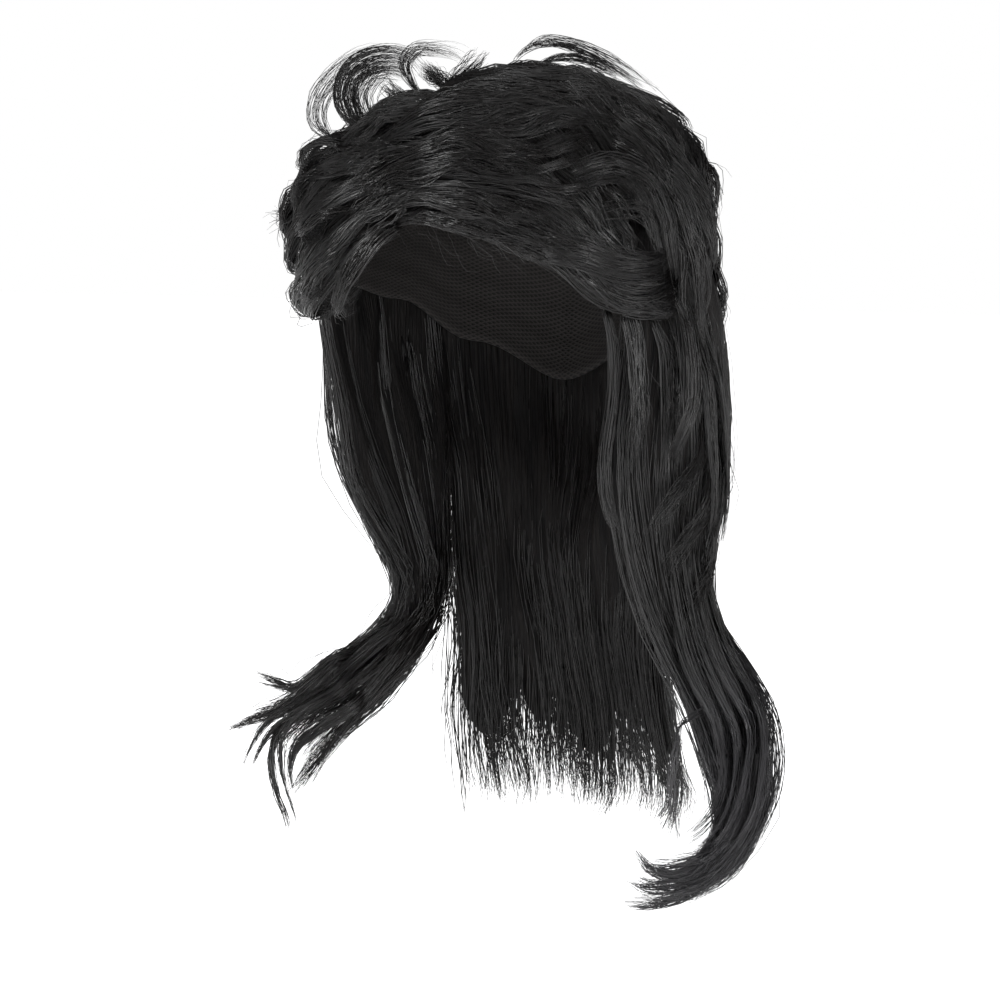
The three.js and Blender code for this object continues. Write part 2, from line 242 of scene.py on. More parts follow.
class HairSurface:
    """The curved middle of a group of hair, as a grid across and along it."""

    SPAN = 1.3
    COLUMNS = 79
    ROWS = 201

    def __init__(self, stations: tuple[Station, ...]) -> None:
        """Lays the grid.

        Args:
            stations: Rows of the group's table, from root to tip.
        """
        across = np.linspace(-self.SPAN, self.SPAN, self.COLUMNS)
        along = np.linspace(0.0, 1.0, self.ROWS)
        centre = self._smooth(np.stack([row.at(across) for row in stations]), along)
        tangent = unit(np.gradient(centre, axis=0))
        wide = np.gradient(centre, axis=1)
        wide = unit(wide - (wide * tangent).sum(-1, keepdims=True) * tangent)
        thick = np.interp(along, np.linspace(0.0, 1.0, len(stations)), [row.thick for row in stations])
        layers = [centre, wide, np.cross(tangent, wide)]
        layers.append(np.broadcast_to(thick[:, None, None], (self.ROWS, self.COLUMNS, 1)))
        self.grid = np.concatenate(layers, axis=2)
        middle = centre[:, self.COLUMNS // 2]
        self.length = float(np.linalg.norm(np.diff(middle, axis=0), axis=1).sum())

    @staticmethod
    def _smooth(points: np.ndarray, along: np.ndarray) -> np.ndarray:
        """Catmull-Rom lines through the stations.

        Args:
            points: Stations by columns by three.
            along: Fractions of the way from the first station to the last.

        Returns:
            Fractions by columns by three.
        """
        padded = np.concatenate([2 * points[:1] - points[1:2], points, 2 * points[-1:] - points[-2:-1]])
        place = along * (len(points) - 1)
        first = np.minimum(place.astype(int), len(points) - 2)
        u = (place - first)[:, None, None]
        p0, p1, p2, p3 = (padded[first + i] for i in range(4))
        return p1 + 0.5 * u * (p2 - p0 + u * (2 * p0 - 5 * p1 + 4 * p2 - p3 + u * (3 * (p1 - p2) + p3 - p0)))

    def sample(self, across: np.ndarray, along: np.ndarray) -> Spots:
        """Reads the grid between its lines.

        Args:
            across: Places across the group, from -1 to +1.
            along: Fractions of the way from root to tip.

        Returns:
            The spots, in arrays shaped like the places.
        """
        across, along = np.broadcast_arrays(across, along)
        x = np.clip((across + self.SPAN) / (2 * self.SPAN), 0.0, 1.0) * (self.COLUMNS - 1)
        y = np.clip(along, 0.0, 1.0) * (self.ROWS - 1)
        left = np.minimum(x.astype(int), self.COLUMNS - 2)
        low = np.minimum(y.astype(int), self.ROWS - 2)
        u, v = (x - left)[..., None], (y - low)[..., None]
        near = self.grid[low, left] * (1 - u) + self.grid[low, left + 1] * u
        far = self.grid[low + 1, left] * (1 - u) + self.grid[low + 1, left + 1] * u
        read = near * (1 - v) + far * v
        return Spots(read[..., 0:3], unit(read[..., 3:6]), unit(read[..., 6:9]), read[..., 9])


@dataclass
class Strands:
    """Centre lines of strands, with the directions that their sections are laid on, in millimetres."""

    centre: np.ndarray
    wide: np.ndarray
    thin: np.ndarray
    radius: np.ndarray
    tone: np.ndarray


class StrandMesh:
    """Joins strands into one mesh of slim closed tubes, each mapped within a column of its own tone."""

    SECTION = np.radians((90.0, 210.0, 330.0))
    SIDE_STARTS = np.array((0.1, 0.36, 0.63))
    SIDE_BREADTH = 0.26
    MAP_ENDS = (0.01, 0.99)
    CAP_MAP = np.array(((-0.2, 0.0), (0.2, 0.0), (0.0, 0.004)))

    def __init__(self, name: str) -> None:
        """Starts an empty mesh under a name."""
        self.name = name
        self.verts: list[np.ndarray] = []
        self.loops: list[np.ndarray] = []
        self.sizes: list[np.ndarray] = []
        self.maps: list[np.ndarray] = []
        self.count = 0

    def add(self, strands: Strands) -> None:
        """Adds a batch of strands, each a tube of three sides with closed ends.

        Args:
            strands: Centre lines with the same number of points each.
        """
        number, points = strands.radius.shape
        cosine, sine = np.cos(self.SECTION), np.sin(self.SECTION)
        ring = strands.wide[:, :, None, :] * cosine[None, None, :, None]
        ring = ring + strands.thin[:, :, None, :] * sine[None, None, :, None]
        verts = strands.centre[:, :, None, :] + ring * strands.radius[:, :, None, None]
        index = np.arange(number * points * 3).reshape(number, points, 3) + self.count
        after = np.roll(index, -1, axis=2)
        quads = np.stack([index[:, :-1], after[:, :-1], after[:, 1:], index[:, 1:]], axis=-1)
        caps = np.concatenate([index[:, 0, ::-1], index[:, -1]])
        left = (strands.tone[:, None, None] + self.SIDE_STARTS) / TONE_COLUMNS
        left = np.broadcast_to(left, (number, points - 1, 3))
        right = left + self.SIDE_BREADTH / TONE_COLUMNS
        along = np.linspace(*self.MAP_ENDS, points)
        low = np.broadcast_to(along[None, :-1, None], left.shape)
        high = np.broadcast_to(along[None, 1:, None], left.shape)
        corners = [(left, low), (right, low), (right, high), (left, high)]
        sides = np.stack([np.stack(corner, axis=-1) for corner in corners], axis=-2)
        middle = (strands.tone + 0.5) / TONE_COLUMNS
        ends = np.stack([np.tile(middle, 2), np.repeat(self.MAP_ENDS, number)], axis=-1)
        ends = ends[:, None, :] + self.CAP_MAP / [TONE_COLUMNS, 1.0]
        self.verts.append(verts.reshape(-1, 3))
        self.loops += [quads.reshape(-1), caps.reshape(-1)]
        self.sizes += [np.full(quads.size // 4, 4), np.full(caps.size // 3, 3)]
        self.maps += [sides.reshape(-1, 2), ends.reshape(-1, 2)]
        self.count += number * points * 3

    def build(self, material: bpy.types.Material) -> bpy.types.Object:
        """Makes the object.

        Args:
            material: Its only material.

        Returns:
            The object, linked to the scene.
        """
        mesh = bpy.data.meshes.new(self.name)
        verts, loops = np.concatenate(self.verts) * MM, np.concatenate(self.loops)
        sizes, maps = np.concatenate(self.sizes), np.concatenate(self.maps)
        mesh.vertices.add(len(verts))
        mesh.vertices.foreach_set("co", verts.astype(np.float32).ravel())
        mesh.loops.add(len(loops))
        mesh.loops.foreach_set("vertex_index", loops.astype(np.int32))
        mesh.polygons.add(len(sizes))
        mesh.polygons.foreach_set("loop_start", (np.cumsum(sizes) - sizes).astype(np.int32))
        mesh.update(calc_edges=True)
        layer = mesh.uv_layers.new(name=FIBRE_MAP)
        layer.data.foreach_set("uv", maps.astype(np.float32).ravel())
        mesh.polygons.foreach_set("use_smooth", np.ones(len(sizes), bool))
        mesh.validate()
        mesh.materials.append(material)
        return add_object(self.name, mesh)


class NodeSheet:
    """Short ways to add and join nodes in one node tree."""

    def __init__(self, tree: bpy.types.NodeTree) -> None:
        """Takes the tree to fill."""
        self.tree = tree

    def add(self, kind: str, **settings: object) -> bpy.types.Node:
        """Adds a node.

        Args:
            kind: Blender's name of the node.
            **settings: Values for the node's own fields.

        Returns:
            The node.
        """
        node = self.tree.nodes.new(kind)
        for name, value in settings.items():
            setattr(node, name, value)
        return node

    def join(self, source: bpy.types.NodeSocket, target: bpy.types.NodeSocket) -> None:
        """Links one socket to another."""
        self.tree.links.new(source, target)

    def feed(self, socket: bpy.types.NodeSocket, value: object) -> None:
        """Gives an input its value.

        Args:
            socket: The input.
            value: A socket to link, or a constant.
        """
        if isinstance(value, bpy.types.NodeSocket):
            self.join(value, socket)
        else:
            socket.default_value = value

    def math(self, first: object, second: object, operation: str = "MULTIPLY") -> bpy.types.NodeSocket:
        """Adds a Math node.

        Args:
            first: Socket or number.
            second: Socket or number.
            operation: What the node does.

        Returns:
            Its output.
        """
        node = self.add("ShaderNodeMath", operation=operation)
        for socket, value in zip(node.inputs, (first, second)):
            self.feed(socket, value)
        return node.outputs[0]

    def blend(self, first: object, second: object, share: bpy.types.NodeSocket) -> bpy.types.NodeSocket:
        """Adds a mix of two colours.

        Args:
            first: Socket or colour at nought.
            second: Socket or colour at one.
            share: How much of the second there is.

        Returns:
            The mixed colour.
        """
        node = self.add("ShaderNodeMix", data_type="RGBA")
        for label, value in (("A", first), ("B", second), ("Factor", share)):
            self.feed(node.inputs[label], value)
        return node.outputs["Result"]

    def step(self, value: bpy.types.NodeSocket, low: float, high: float) -> bpy.types.NodeSocket:
        """Adds a smooth step from nought to one.

        Args:
            value: Number to ease.
            low: Where the step leaves nought.
            high: Where the step reaches one.

        Returns:
            The eased number.
        """
        node = self.add("ShaderNodeMapRange", interpolation_type="SMOOTHSTEP")
        for label, number in (("From Min", low), ("From Max", high), ("Value", value)):
            self.feed(node.inputs[label], number)
        return node.outputs[0]

    def bump(self, height: bpy.types.NodeSocket, strength: float, depth: float) -> bpy.types.NodeSocket:
        """Adds a bump.

        Args:
            height: Height of the relief, from nought to one.
            strength: How much of it shows.
            depth: Its full height in millimetres.

        Returns:
            The bumped normal.
        """
        node = self.add("ShaderNodeBump")
        for label, value in (("Strength", strength), ("Distance", depth * MM), ("Height", height)):
            self.feed(node.inputs[label], value)
        return node.outputs[0]


def new_material(name: str) -> tuple[bpy.types.Material, NodeSheet, bpy.types.Node]:
    """Starts a material.

    Args:
        name: Its name.

    Returns:
        The material, the sheet of its nodes and its shader.
    """
    material = bpy.data.materials.new(name)
    material.use_nodes = True
    return material, NodeSheet(material.node_tree), material.node_tree.nodes["Principled BSDF"]


class Pattern(Enum):
    """Shared patterns that more than one finish uses."""

    FIBRES = "fibre_streaks"
    NET = "net_threads"


class Patterns:
    """Shader groups, each built once and placed in the finishes with their own values."""

    FIBRE_LAYERS = (("Locks", 0.7, 2.0), ("Fibres", 1.6, 3.0))
    FIBRE_ROUGHNESS = 0.6
    FIBRE_STEP = (0.32, 0.68)
    STREAK_SHARES = (0.4, 0.6)
    THREAD_STEP = (0.78, 0.93)

    def __init__(self) -> None:
        """Starts with no group built."""
        self.built: dict[Pattern, bpy.types.NodeTree] = {}

    def get(self, pattern: Pattern) -> bpy.types.NodeTree:
        """The group of a pattern, built at its first use."""
        if pattern not in self.built:
            makers = {Pattern.FIBRES: self._fibres, Pattern.NET: self._net}
            self.built[pattern] = makers[pattern]()
        return self.built[pattern]

    @staticmethod
    def _start(
        pattern: Pattern, inputs: dict[str, float], outputs: tuple[str, ...]
    ) -> tuple[NodeSheet, bpy.types.Node, bpy.types.Node]:
        """A new group with a map input, number inputs and number outputs.

        Args:
            pattern: What the group draws.
            inputs: Number inputs and their defaults.
            outputs: Names of the outputs.

        Returns:
            The sheet of the group, its input node and its output node.
        """
        tree = bpy.data.node_groups.new(pattern.value, "ShaderNodeTree")
        tree.interface.new_socket("Map", in_out="INPUT", socket_type="NodeSocketVector")
        for label, value in inputs.items():
            socket = tree.interface.new_socket(label, in_out="INPUT", socket_type="NodeSocketFloat")
            socket.default_value = value
        for label in outputs:
            tree.interface.new_socket(label, in_out="OUTPUT", socket_type="NodeSocketFloat")
        sheet = NodeSheet(tree)
        return sheet, sheet.add("NodeGroupInput"), sheet.add("NodeGroupOutput")

    def _fibres(self) -> bpy.types.NodeTree:
        """Streaks that run along the hair: a broad tone by lock, a fine tone by fibre, and a mix of both."""
        inputs = {"Locks": 8.0, "Fibres": 60.0, "Along": 2.0}
        outputs = ("Lock tone", "Fibre tone", "Streak")
        sheet, given, out = self._start(Pattern.FIBRES, inputs, outputs)
        split = sheet.add("ShaderNodeSeparateXYZ")
        sheet.join(given.outputs["Map"], split.inputs[0])
        tones = []
        for label, stretch, detail in self.FIBRE_LAYERS:
            place = sheet.add("ShaderNodeCombineXYZ")
            sheet.join(sheet.math(split.outputs["X"], given.outputs[label]), place.inputs["X"])
            along = sheet.math(split.outputs["Y"], given.outputs["Along"])
            sheet.join(sheet.math(along, stretch), place.inputs["Y"])
            noise = sheet.add("ShaderNodeTexNoise", noise_dimensions="2D")
            noise.inputs["Scale"].default_value = 1.0
            noise.inputs["Detail"].default_value = detail
            noise.inputs["Roughness"].default_value = self.FIBRE_ROUGHNESS
            sheet.join(place.outputs[0], noise.inputs["Vector"])
            tones.append(sheet.step(noise.outputs[0], *self.FIBRE_STEP))
        parts = [sheet.math(tone, share) for tone, share in zip(tones, self.STREAK_SHARES)]
        for label, value in zip(outputs, (*tones, sheet.math(*parts, "ADD"))):
            sheet.join(value, out.inputs[label])
        return sheet.tree

    def _net(self) -> bpy.types.NodeTree:
        """Crossed threads with open eyes between them: the height of the threads, and where they are."""
        inputs, outputs = {"Round": 240.0, "Down": 90.0}, ("Height", "Thread")
        sheet, given, out = self._start(Pattern.NET, inputs, outputs)
        split = sheet.add("ShaderNodeSeparateXYZ")
        sheet.join(given.outputs["Map"], split.inputs[0])
        across = sheet.math(split.outputs["X"], given.outputs["Round"])
        down = sheet.math(split.outputs["Y"], given.outputs["Down"])
        waves = []
        for sign in ("ADD", "SUBTRACT"):
            turned = sheet.math(sheet.math(across, down, sign), math.pi)
            waves.append(sheet.math(sheet.math(turned, 0.0, "SINE"), 0.0, "ABSOLUTE"))
        height = sheet.math(*waves, "MAXIMUM")
        for label, value in zip(outputs, (height, sheet.step(height, *self.THREAD_STEP))):
            sheet.join(value, out.inputs[label])
        return sheet.tree


PATTERNS = Patterns()


Colour = tuple[float, float, float]


@dataclass(frozen=True)
class HairFinish:
    """Black synthetic hair: tones of its fibres, shine, depth of its streaks, and painted sheen that makes
    the end of the left lengths paler.
    """

    # Painted sheen: the end of the left lengths is coloured paler along its streaks, standing in for light
    # that falls on it.
    PAINTED_SHEEN_AREA = (("X", 0.075, 0.12), ("Z", -0.26, -0.35))
    PAINTED_SHEEN_LEAST = 0.45

    name: str
    deep: Colour = (0.0022, 0.0021, 0.0024)
    fair: Colour = (0.0075, 0.0064, 0.006)
    locks: float = 8.0
    fibres: float = 60.0
    along: float = 2.0
    shine: float = 0.45
    dullest: float = 0.42
    glossiest: float = 0.18
    relief: float = 0.0
    relief_strength: float = 0.9
    # Colour of the painted sheen at the end of the left lengths, or None for no painted sheen.
    painted_sheen: Colour | None = None

    def make(self) -> bpy.types.Material:
        """Builds the material.

        Returns:
            The material, which reads the map that follows the hair.
        """
        material, sheet, shader = new_material(self.name)
        shader.inputs["Specular IOR Level"].default_value = self.shine
        place = sheet.add("ShaderNodeUVMap", uv_map=FIBRE_MAP)
        streaks = sheet.add("ShaderNodeGroup", node_tree=PATTERNS.get(Pattern.FIBRES))
        streaks.inputs["Locks"].default_value = self.locks
        streaks.inputs["Fibres"].default_value = self.fibres
        streaks.inputs["Along"].default_value = self.along
        sheet.join(place.outputs[0], streaks.inputs["Map"])
        streak = streaks.outputs["Streak"]
        tone = sheet.blend((*self.deep, 1.0), (*self.fair, 1.0), streak)
        # Painted sheen: a paler colour at the end of the left lengths, stronger on the lighter streaks.
        if self.painted_sheen:
            where = sheet.math(self._painted_sheen_area(sheet), sheet.math(streak, self.PAINTED_SHEEN_LEAST, "ADD"))
            tone = sheet.blend(tone, (*self.painted_sheen, 1.0), where)
        sheet.join(tone, shader.inputs["Base Color"])
        gloss = sheet.add("ShaderNodeMapRange")
        gloss.inputs["To Min"].default_value = self.dullest
        gloss.inputs["To Max"].default_value = self.glossiest
        sheet.join(streaks.outputs["Lock tone"], gloss.inputs["Value"])
        sheet.join(gloss.outputs[0], shader.inputs["Roughness"])
        if self.relief:
            sheet.join(sheet.bump(streak, self.relief_strength, self.relief), shader.inputs["Normal"])
        return material

    def _painted_sheen_area(self, sheet: NodeSheet) -> bpy.types.NodeSocket:
        """Where the painted sheen lies, at the end of the left lengths: low down and out to the wearer's
        left.

        Args:
            sheet: Sheet of the material.

        Returns:
            A number from nought to one.
        """
        place = sheet.add("ShaderNodeTexCoord")
        split = sheet.add("ShaderNodeSeparateXYZ")
        sheet.join(place.outputs["Object"], split.inputs[0])
        parts = [sheet.step(split.outputs[axis], start, full) for axis, start, full in self.PAINTED_SHEEN_AREA]
        return sheet.math(*parts)


@dataclass(frozen=True)
class CapFinish:
    """Dark elastic net of the cap, with threads that stand proud of the ground."""

    name: str = "cap_net"
    ground: Colour = (0.005, 0.0045, 0.0044)
    thread: Colour = (0.02, 0.0178, 0.0168)
    eyes_round: float = 220.0
    eyes_down: float = 82.0
    shine: float = 0.25
    roughness: float = 0.8
    relief: float = 0.5
    relief_strength: float = 0.8

    def make(self) -> bpy.types.Material:
        """Builds the material.

        Returns:
            The material, which reads the map that wraps the cap.
        """
        material, sheet, shader = new_material(self.name)
        shader.inputs["Specular IOR Level"].default_value = self.shine
        shader.inputs["Roughness"].default_value = self.roughness
        place = sheet.add("ShaderNodeUVMap", uv_map=FIBRE_MAP)
        net = sheet.add("ShaderNodeGroup", node_tree=PATTERNS.get(Pattern.NET))
        net.inputs["Round"].default_value = self.eyes_round
        net.inputs["Down"].default_value = self.eyes_down
        sheet.join(place.outputs[0], net.inputs["Map"])
        colour = sheet.blend((*self.ground, 1.0), (*self.thread, 1.0), net.outputs["Thread"])
        sheet.join(colour, shader.inputs["Base Color"])
        normal = sheet.bump(net.outputs["Height"], self.relief_strength, self.relief)
        sheet.join(normal, shader.inputs["Normal"])
        return material


STRAND_FINISH = HairFinish(
    "hair_strands", locks=TONE_COLUMNS * 0.2, fibres=TONE_COLUMNS * 5.3, along=1.1,
    # Painted sheen at the end of the left lengths.
    painted_sheen=(0.044, 0.043, 0.046),
)
MASS_FINISH = HairFinish(
    "hair_mass", locks=22.0, fibres=190.0, along=4.0, shine=0.1, dullest=0.62, glossiest=0.42, relief=0.9
)
SHORT_FINISH = HairFinish(
    "short_hair", locks=60.0, fibres=420.0, along=5.0, shine=0.16, dullest=0.7, glossiest=0.52, relief=0.8
)


class Shell:
    """A closed wall of two curved faces, made from one grid and its extruded copy, mapped side by side."""

    MAP_BREADTH = 0.49
    MAP_MARGIN = 0.005
    INNER_SHIFT = 0.5

    def __init__(self, columns: int, rows: int) -> None:
        """Makes the grid and its copy.

        Args:
            columns: Faces across.
            rows: Faces along.
        """
        self.bm = bmesh.new()
        self.bm.loops.layers.uv.new(FIBRE_MAP)
        bmesh.ops.create_grid(self.bm, x_segments=columns, y_segments=rows, size=0.5, calc_uvs=True)
        self.x = self.bm.verts.layers.float.new("place_across")
        self.y = self.bm.verts.layers.float.new("place_along")
        low = min(vert.co.x for vert in self.bm.verts)
        span = -2.0 * low
        for vert in self.bm.verts:
            vert[self.x] = (vert.co.x - low) / span
            vert[self.y] = (vert.co.y - low) / span
        made = bmesh.ops.extrude_face_region(self.bm, geom=list(self.bm.faces), use_keep_orig=True)
        self.inner = {item for item in made["geom"] if isinstance(item, bmesh.types.BMVert)}

    def places(self) -> tuple[list[bmesh.types.BMVert], np.ndarray, np.ndarray, np.ndarray]:
        """Where the corners lie.

        Returns:
            The corners, their places across and along from 0 to 1, and 1 for the inner face or 0.
        """
        verts = list(self.bm.verts)
        across = np.array([vert[self.x] for vert in verts])
        along = np.array([vert[self.y] for vert in verts])
        side = np.array([float(vert in self.inner) for vert in verts])
        return verts, across, along, side

    def set(self, verts: list[bmesh.types.BMVert], places: np.ndarray) -> None:
        """Moves corners to places in millimetres."""
        for vert, place in zip(verts, places * MM):
            vert.co = place

    def build(self, name: str, material: bpy.types.Material, merge: float = 0.0) -> bpy.types.Object:
        """Maps, closes and links the wall.

        Args:
            name: Name of the object.
            material: Its only material.
            merge: Distance within which corners are merged, for a wall that meets itself.

        Returns:
            The object.
        """
        layer = self.bm.loops.layers.uv.active
        for face in self.bm.faces:
            face.smooth = True
            shift = self.INNER_SHIFT * all(vert in self.inner for vert in face.verts)
            for loop in face.loops:
                across = loop.vert[self.x] * self.MAP_BREADTH + self.MAP_MARGIN + shift
                loop[layer].uv = (across, loop.vert[self.y])
        if merge:
            bmesh.ops.remove_doubles(self.bm, verts=list(self.bm.verts), dist=merge)
        bmesh.ops.recalc_face_normals(self.bm, faces=list(self.bm.faces))
        mesh = bpy.data.meshes.new(name)
        self.bm.to_mesh(mesh)
        self.bm.free()
        mesh.materials.append(material)
        return add_object(name, mesh)


@dataclass(frozen=True)
class LockForm:
    """One lock of a sheet: its share of the breadth, the height of its crest, and how much it falls short."""

    share: float
    crest: float
    short: float


LOCK_FORMS = (
    LockForm(1.0, 1.0, 0.02),
    LockForm(0.7, 0.72, 0.09),
    LockForm(1.2, 1.08, 0.0),
    LockForm(0.85, 0.8, 0.06),
    LockForm(1.1, 1.0, 0.03),
    LockForm(0.75, 0.68, 0.1),
    LockForm(1.05, 1.04, 0.01),
)


@dataclass(frozen=True)
class Nap:
    """How the strands of a group lie. Sizes are in millimetres, turns in degrees, the rest are shares.

    Attributes:
        clumps: How many bunches there are.
        strands: How many strands each bunch has.
        points: How many points each strand has.
        radius: Radius of a strand.
        spread: Half the breadth of a bunch.
        tip_spread: How much of that breadth is left at the tip.
        lean: How far bunches lean across the group.
        wave: Height of the waves along a strand.
        wave_length: Length of those waves.
        feathered: How many bunches start lower down and end sooner.
        flick: How far the tips turn out.
        inner: How many bunches lie under the mass.
        stray: How far single strands wander.
        loose: How many of them wander furthest.
        gather: How far the tips of a lock draw together.
        uneven: How much the tips vary.
        curl: Radius of the rolled ends, or nought.
        curl_from: Where along the strand the roll starts.
        curl_turn: How far it turns.
        ragged: How much the roots vary.
        fill: Whether the strands fill the whole thickness.
    """

    clumps: int
    strands: int
    points: int = 11
    radius: float = 0.27
    spread: float = 5.0
    tip_spread: float = 0.25
    lean: float = 0.05
    wave: float = 1.5
    wave_length: float = 60.0
    feathered: float = 0.4
    flick: float = 2.0
    inner: float = 0.25
    stray: float = 1.0
    loose: float = 0.05
    gather: float = 0.45
    uneven: float = 0.08
    curl: float = 0.0
    curl_from: float = 0.62
    curl_turn: float = 190.0
    ragged: float = 0.05
    fill: bool = False


@dataclass
class Clumps:
    """Bunches in which strands lie together: an array with a number for each bunch."""

    place: np.ndarray
    pull: np.ndarray
    root: np.ndarray
    tip: np.ndarray
    depth: np.ndarray
    flick: np.ndarray
    lean: np.ndarray
    shift: np.ndarray
    shade: np.ndarray
    sway: np.ndarray
    pace: np.ndarray
    phase: np.ndarray

    def for_strands(self, each: int) -> "Clumps":
        """The same numbers as columns, with a row for each strand of each bunch."""
        return Clumps(*(np.repeat(values, each)[:, None] for values in vars(self).values()))


@dataclass
class HairGroup:
    """A sheet of hair: a dark ridged mass, and the strands that lie over and under it.

    Attributes:
        name: Node that it dresses, or what a single lock is.
        stations: Rows of its table, from root to tip.
        nap: How its strands lie.
        locks: How many locks it has across.
        valley: Height between locks, as a share of half the thickness.
        first_form: Row of LOCK_FORMS that its first lock has.
        seed: Seed of its own values.
        mass_columns: Faces of the mass across.
        mass_rows: Faces of the mass along.
        mass_tip: Where along the group the mass ends.
        swell: Height of the long waves that the group lies in.
        swell_length: Length of those waves.
        extra: Locks that lie apart and are joined to its strands.
        slot: Slot of its pieces; not used.
        surface: The curved middle of the group.
        edges: Where across the group each lock starts and ends.
        crests: Height of each lock.
        shorts: How much each lock falls short.
    """

    MASS_BREADTH = 0.97
    MASS_ROOT = 0.01
    MASS_NOTCH = 0.12
    MASS_RIDGES = ((5, 0.5), (9, 0.45), (16, 0.35), (27, 0.25))
    STRAND_BREADTH = 0.99
    FEATHER_ROOT = (0.03, 0.5)
    FEATHER_LENGTH = (0.32, 0.6)
    FEATHER_DEPTH = (0.8, 1.2)
    FEATHER_FLICK = (-0.6, 1.3)
    FEATHER_SHIFT = 0.35
    UNDER_DEPTH = (-0.95, -0.35)
    OVER_DEPTH = (0.4, 1.0)
    OVER_FLICK = (-0.6, 0.5)
    OVER_SHIFT = 0.12
    ROOT_JITTER = 0.03
    ROOT_SINK = 0.2
    CUT_SPREAD = 0.08
    CUT_MOST = 0.32
    LOOSE_WANDER = (2.5, 6.0)
    WANDERINGS = ((0.8, 0.7), (1.9, 0.4), (3.6, 0.2))

    name: str
    stations: tuple[Station, ...]
    nap: Nap
    locks: int
    valley: float
    first_form: int
    seed: int
    mass_columns: int = 48
    mass_rows: int = 28
    mass_tip: float = 0.8
    swell: float = 0.0
    swell_length: float = 62.0
    extra: tuple["HairGroup", ...] = ()
    slot: str = "hair"
    surface: HairSurface = field(init=False)
    edges: np.ndarray = field(init=False)
    crests: np.ndarray = field(init=False)
    shorts: np.ndarray = field(init=False)

    def __post_init__(self) -> None:
        """Lays the surface and the edges of the locks."""
        self.surface = HairSurface(self.stations)
        forms = [LOCK_FORMS[(self.first_form + i) % len(LOCK_FORMS)] for i in range(self.locks)]
        shares = np.array([form.share for form in forms])
        self.edges = np.concatenate([[0.0], np.cumsum(shares)]) / shares.sum() * 2.0 - 1.0
        self.crests = np.array([form.crest for form in forms])
        self.shorts = np.array([form.short for form in forms])

    def lock_of(self, across: np.ndarray) -> np.ndarray:
        """Which lock a place across the group is in."""
        return np.clip(np.searchsorted(self.edges, across) - 1, 0, self.locks - 1)

    def lock_rise(self, across: np.ndarray) -> tuple[np.ndarray, np.ndarray]:
        """How the locks lie across the group.

        Args:
            across: Places across the group, from -1 to +1.

        Returns:
            The lock that each place is in, and its rise from nought at the lock's edges to one at its middle.
        """
        lock = self.lock_of(across)
        share = (across - self.edges[lock]) / (self.edges[lock + 1] - self.edges[lock])
        return lock, np.sin(np.pi * np.clip(share, 0.0, 1.0))

    def crest(self, across: np.ndarray) -> np.ndarray:
        """Height of the outer face as a share of half the thickness, from valley to crest."""
        lock, rise = self.lock_rise(across)
        return self.valley + (self.crests[lock] - self.valley) * rise

    def swell_at(self, across: np.ndarray, along: np.ndarray) -> np.ndarray:
        """Height of the long waves that the whole group lies in."""
        drift = 1.9 * np.sin(2.6 * across + self.seed) + 1.3 * np.sin(6.1 * across + 2.0 * self.seed)
        turn = 2 * np.pi * along * self.surface.length / self.swell_length + self.seed + drift
        waves = np.sin(turn) + 0.5 * np.sin(1.6 * turn + 2.8 * across + 1.0)
        return self.swell * waves * ease(along, 0.0, 0.2)

    def build_mass(self, material: bpy.types.Material) -> bpy.types.Object:
        """Makes the dark mass under the strands.

        Args:
            material: Its finish.

        Returns:
            The object.
        """
        rng = np.random.default_rng(self.seed + 500)
        shell = Shell(self.mass_columns, self.mass_rows)
        verts, x, y, inner = shell.places()
        across = (x * 2.0 - 1.0) * self.MASS_BREADTH
        lock, rise = self.lock_rise(across)
        end = self.mass_tip - self.shorts[lock] - self.MASS_NOTCH * (1.0 - rise)
        along = self.MASS_ROOT + y * (end - self.MASS_ROOT)
        spot = self.surface.sample(across, along)
        ridges = np.zeros_like(across)
        for cycles, depth in self.MASS_RIDGES:
            drift = rng.normal(0.0, 1.2)
            ridges += depth * np.cos(np.pi * cycles * across + drift * along * 4.0 + rng.uniform(0.0, 6.3))
        edge = 0.25 + 0.75 * ease(1.0 - np.abs(x * 2.0 - 1.0), 0.0, 0.16)
        taper = (1.0 - 0.85 * ease(y, 0.5, 1.0)) * edge
        half = spot.thick / 2.0
        outer = half * 0.6 * self.crest(across) + ridges
        lift = np.where(inner > 0.5, -half * 0.8 + 0.6 * ridges, outer) * taper + self.swell_at(across, along)
        shell.set(verts, spot.centre + spot.thin * lift[:, None])
        return shell.build(f"{self.name}_mass", material)

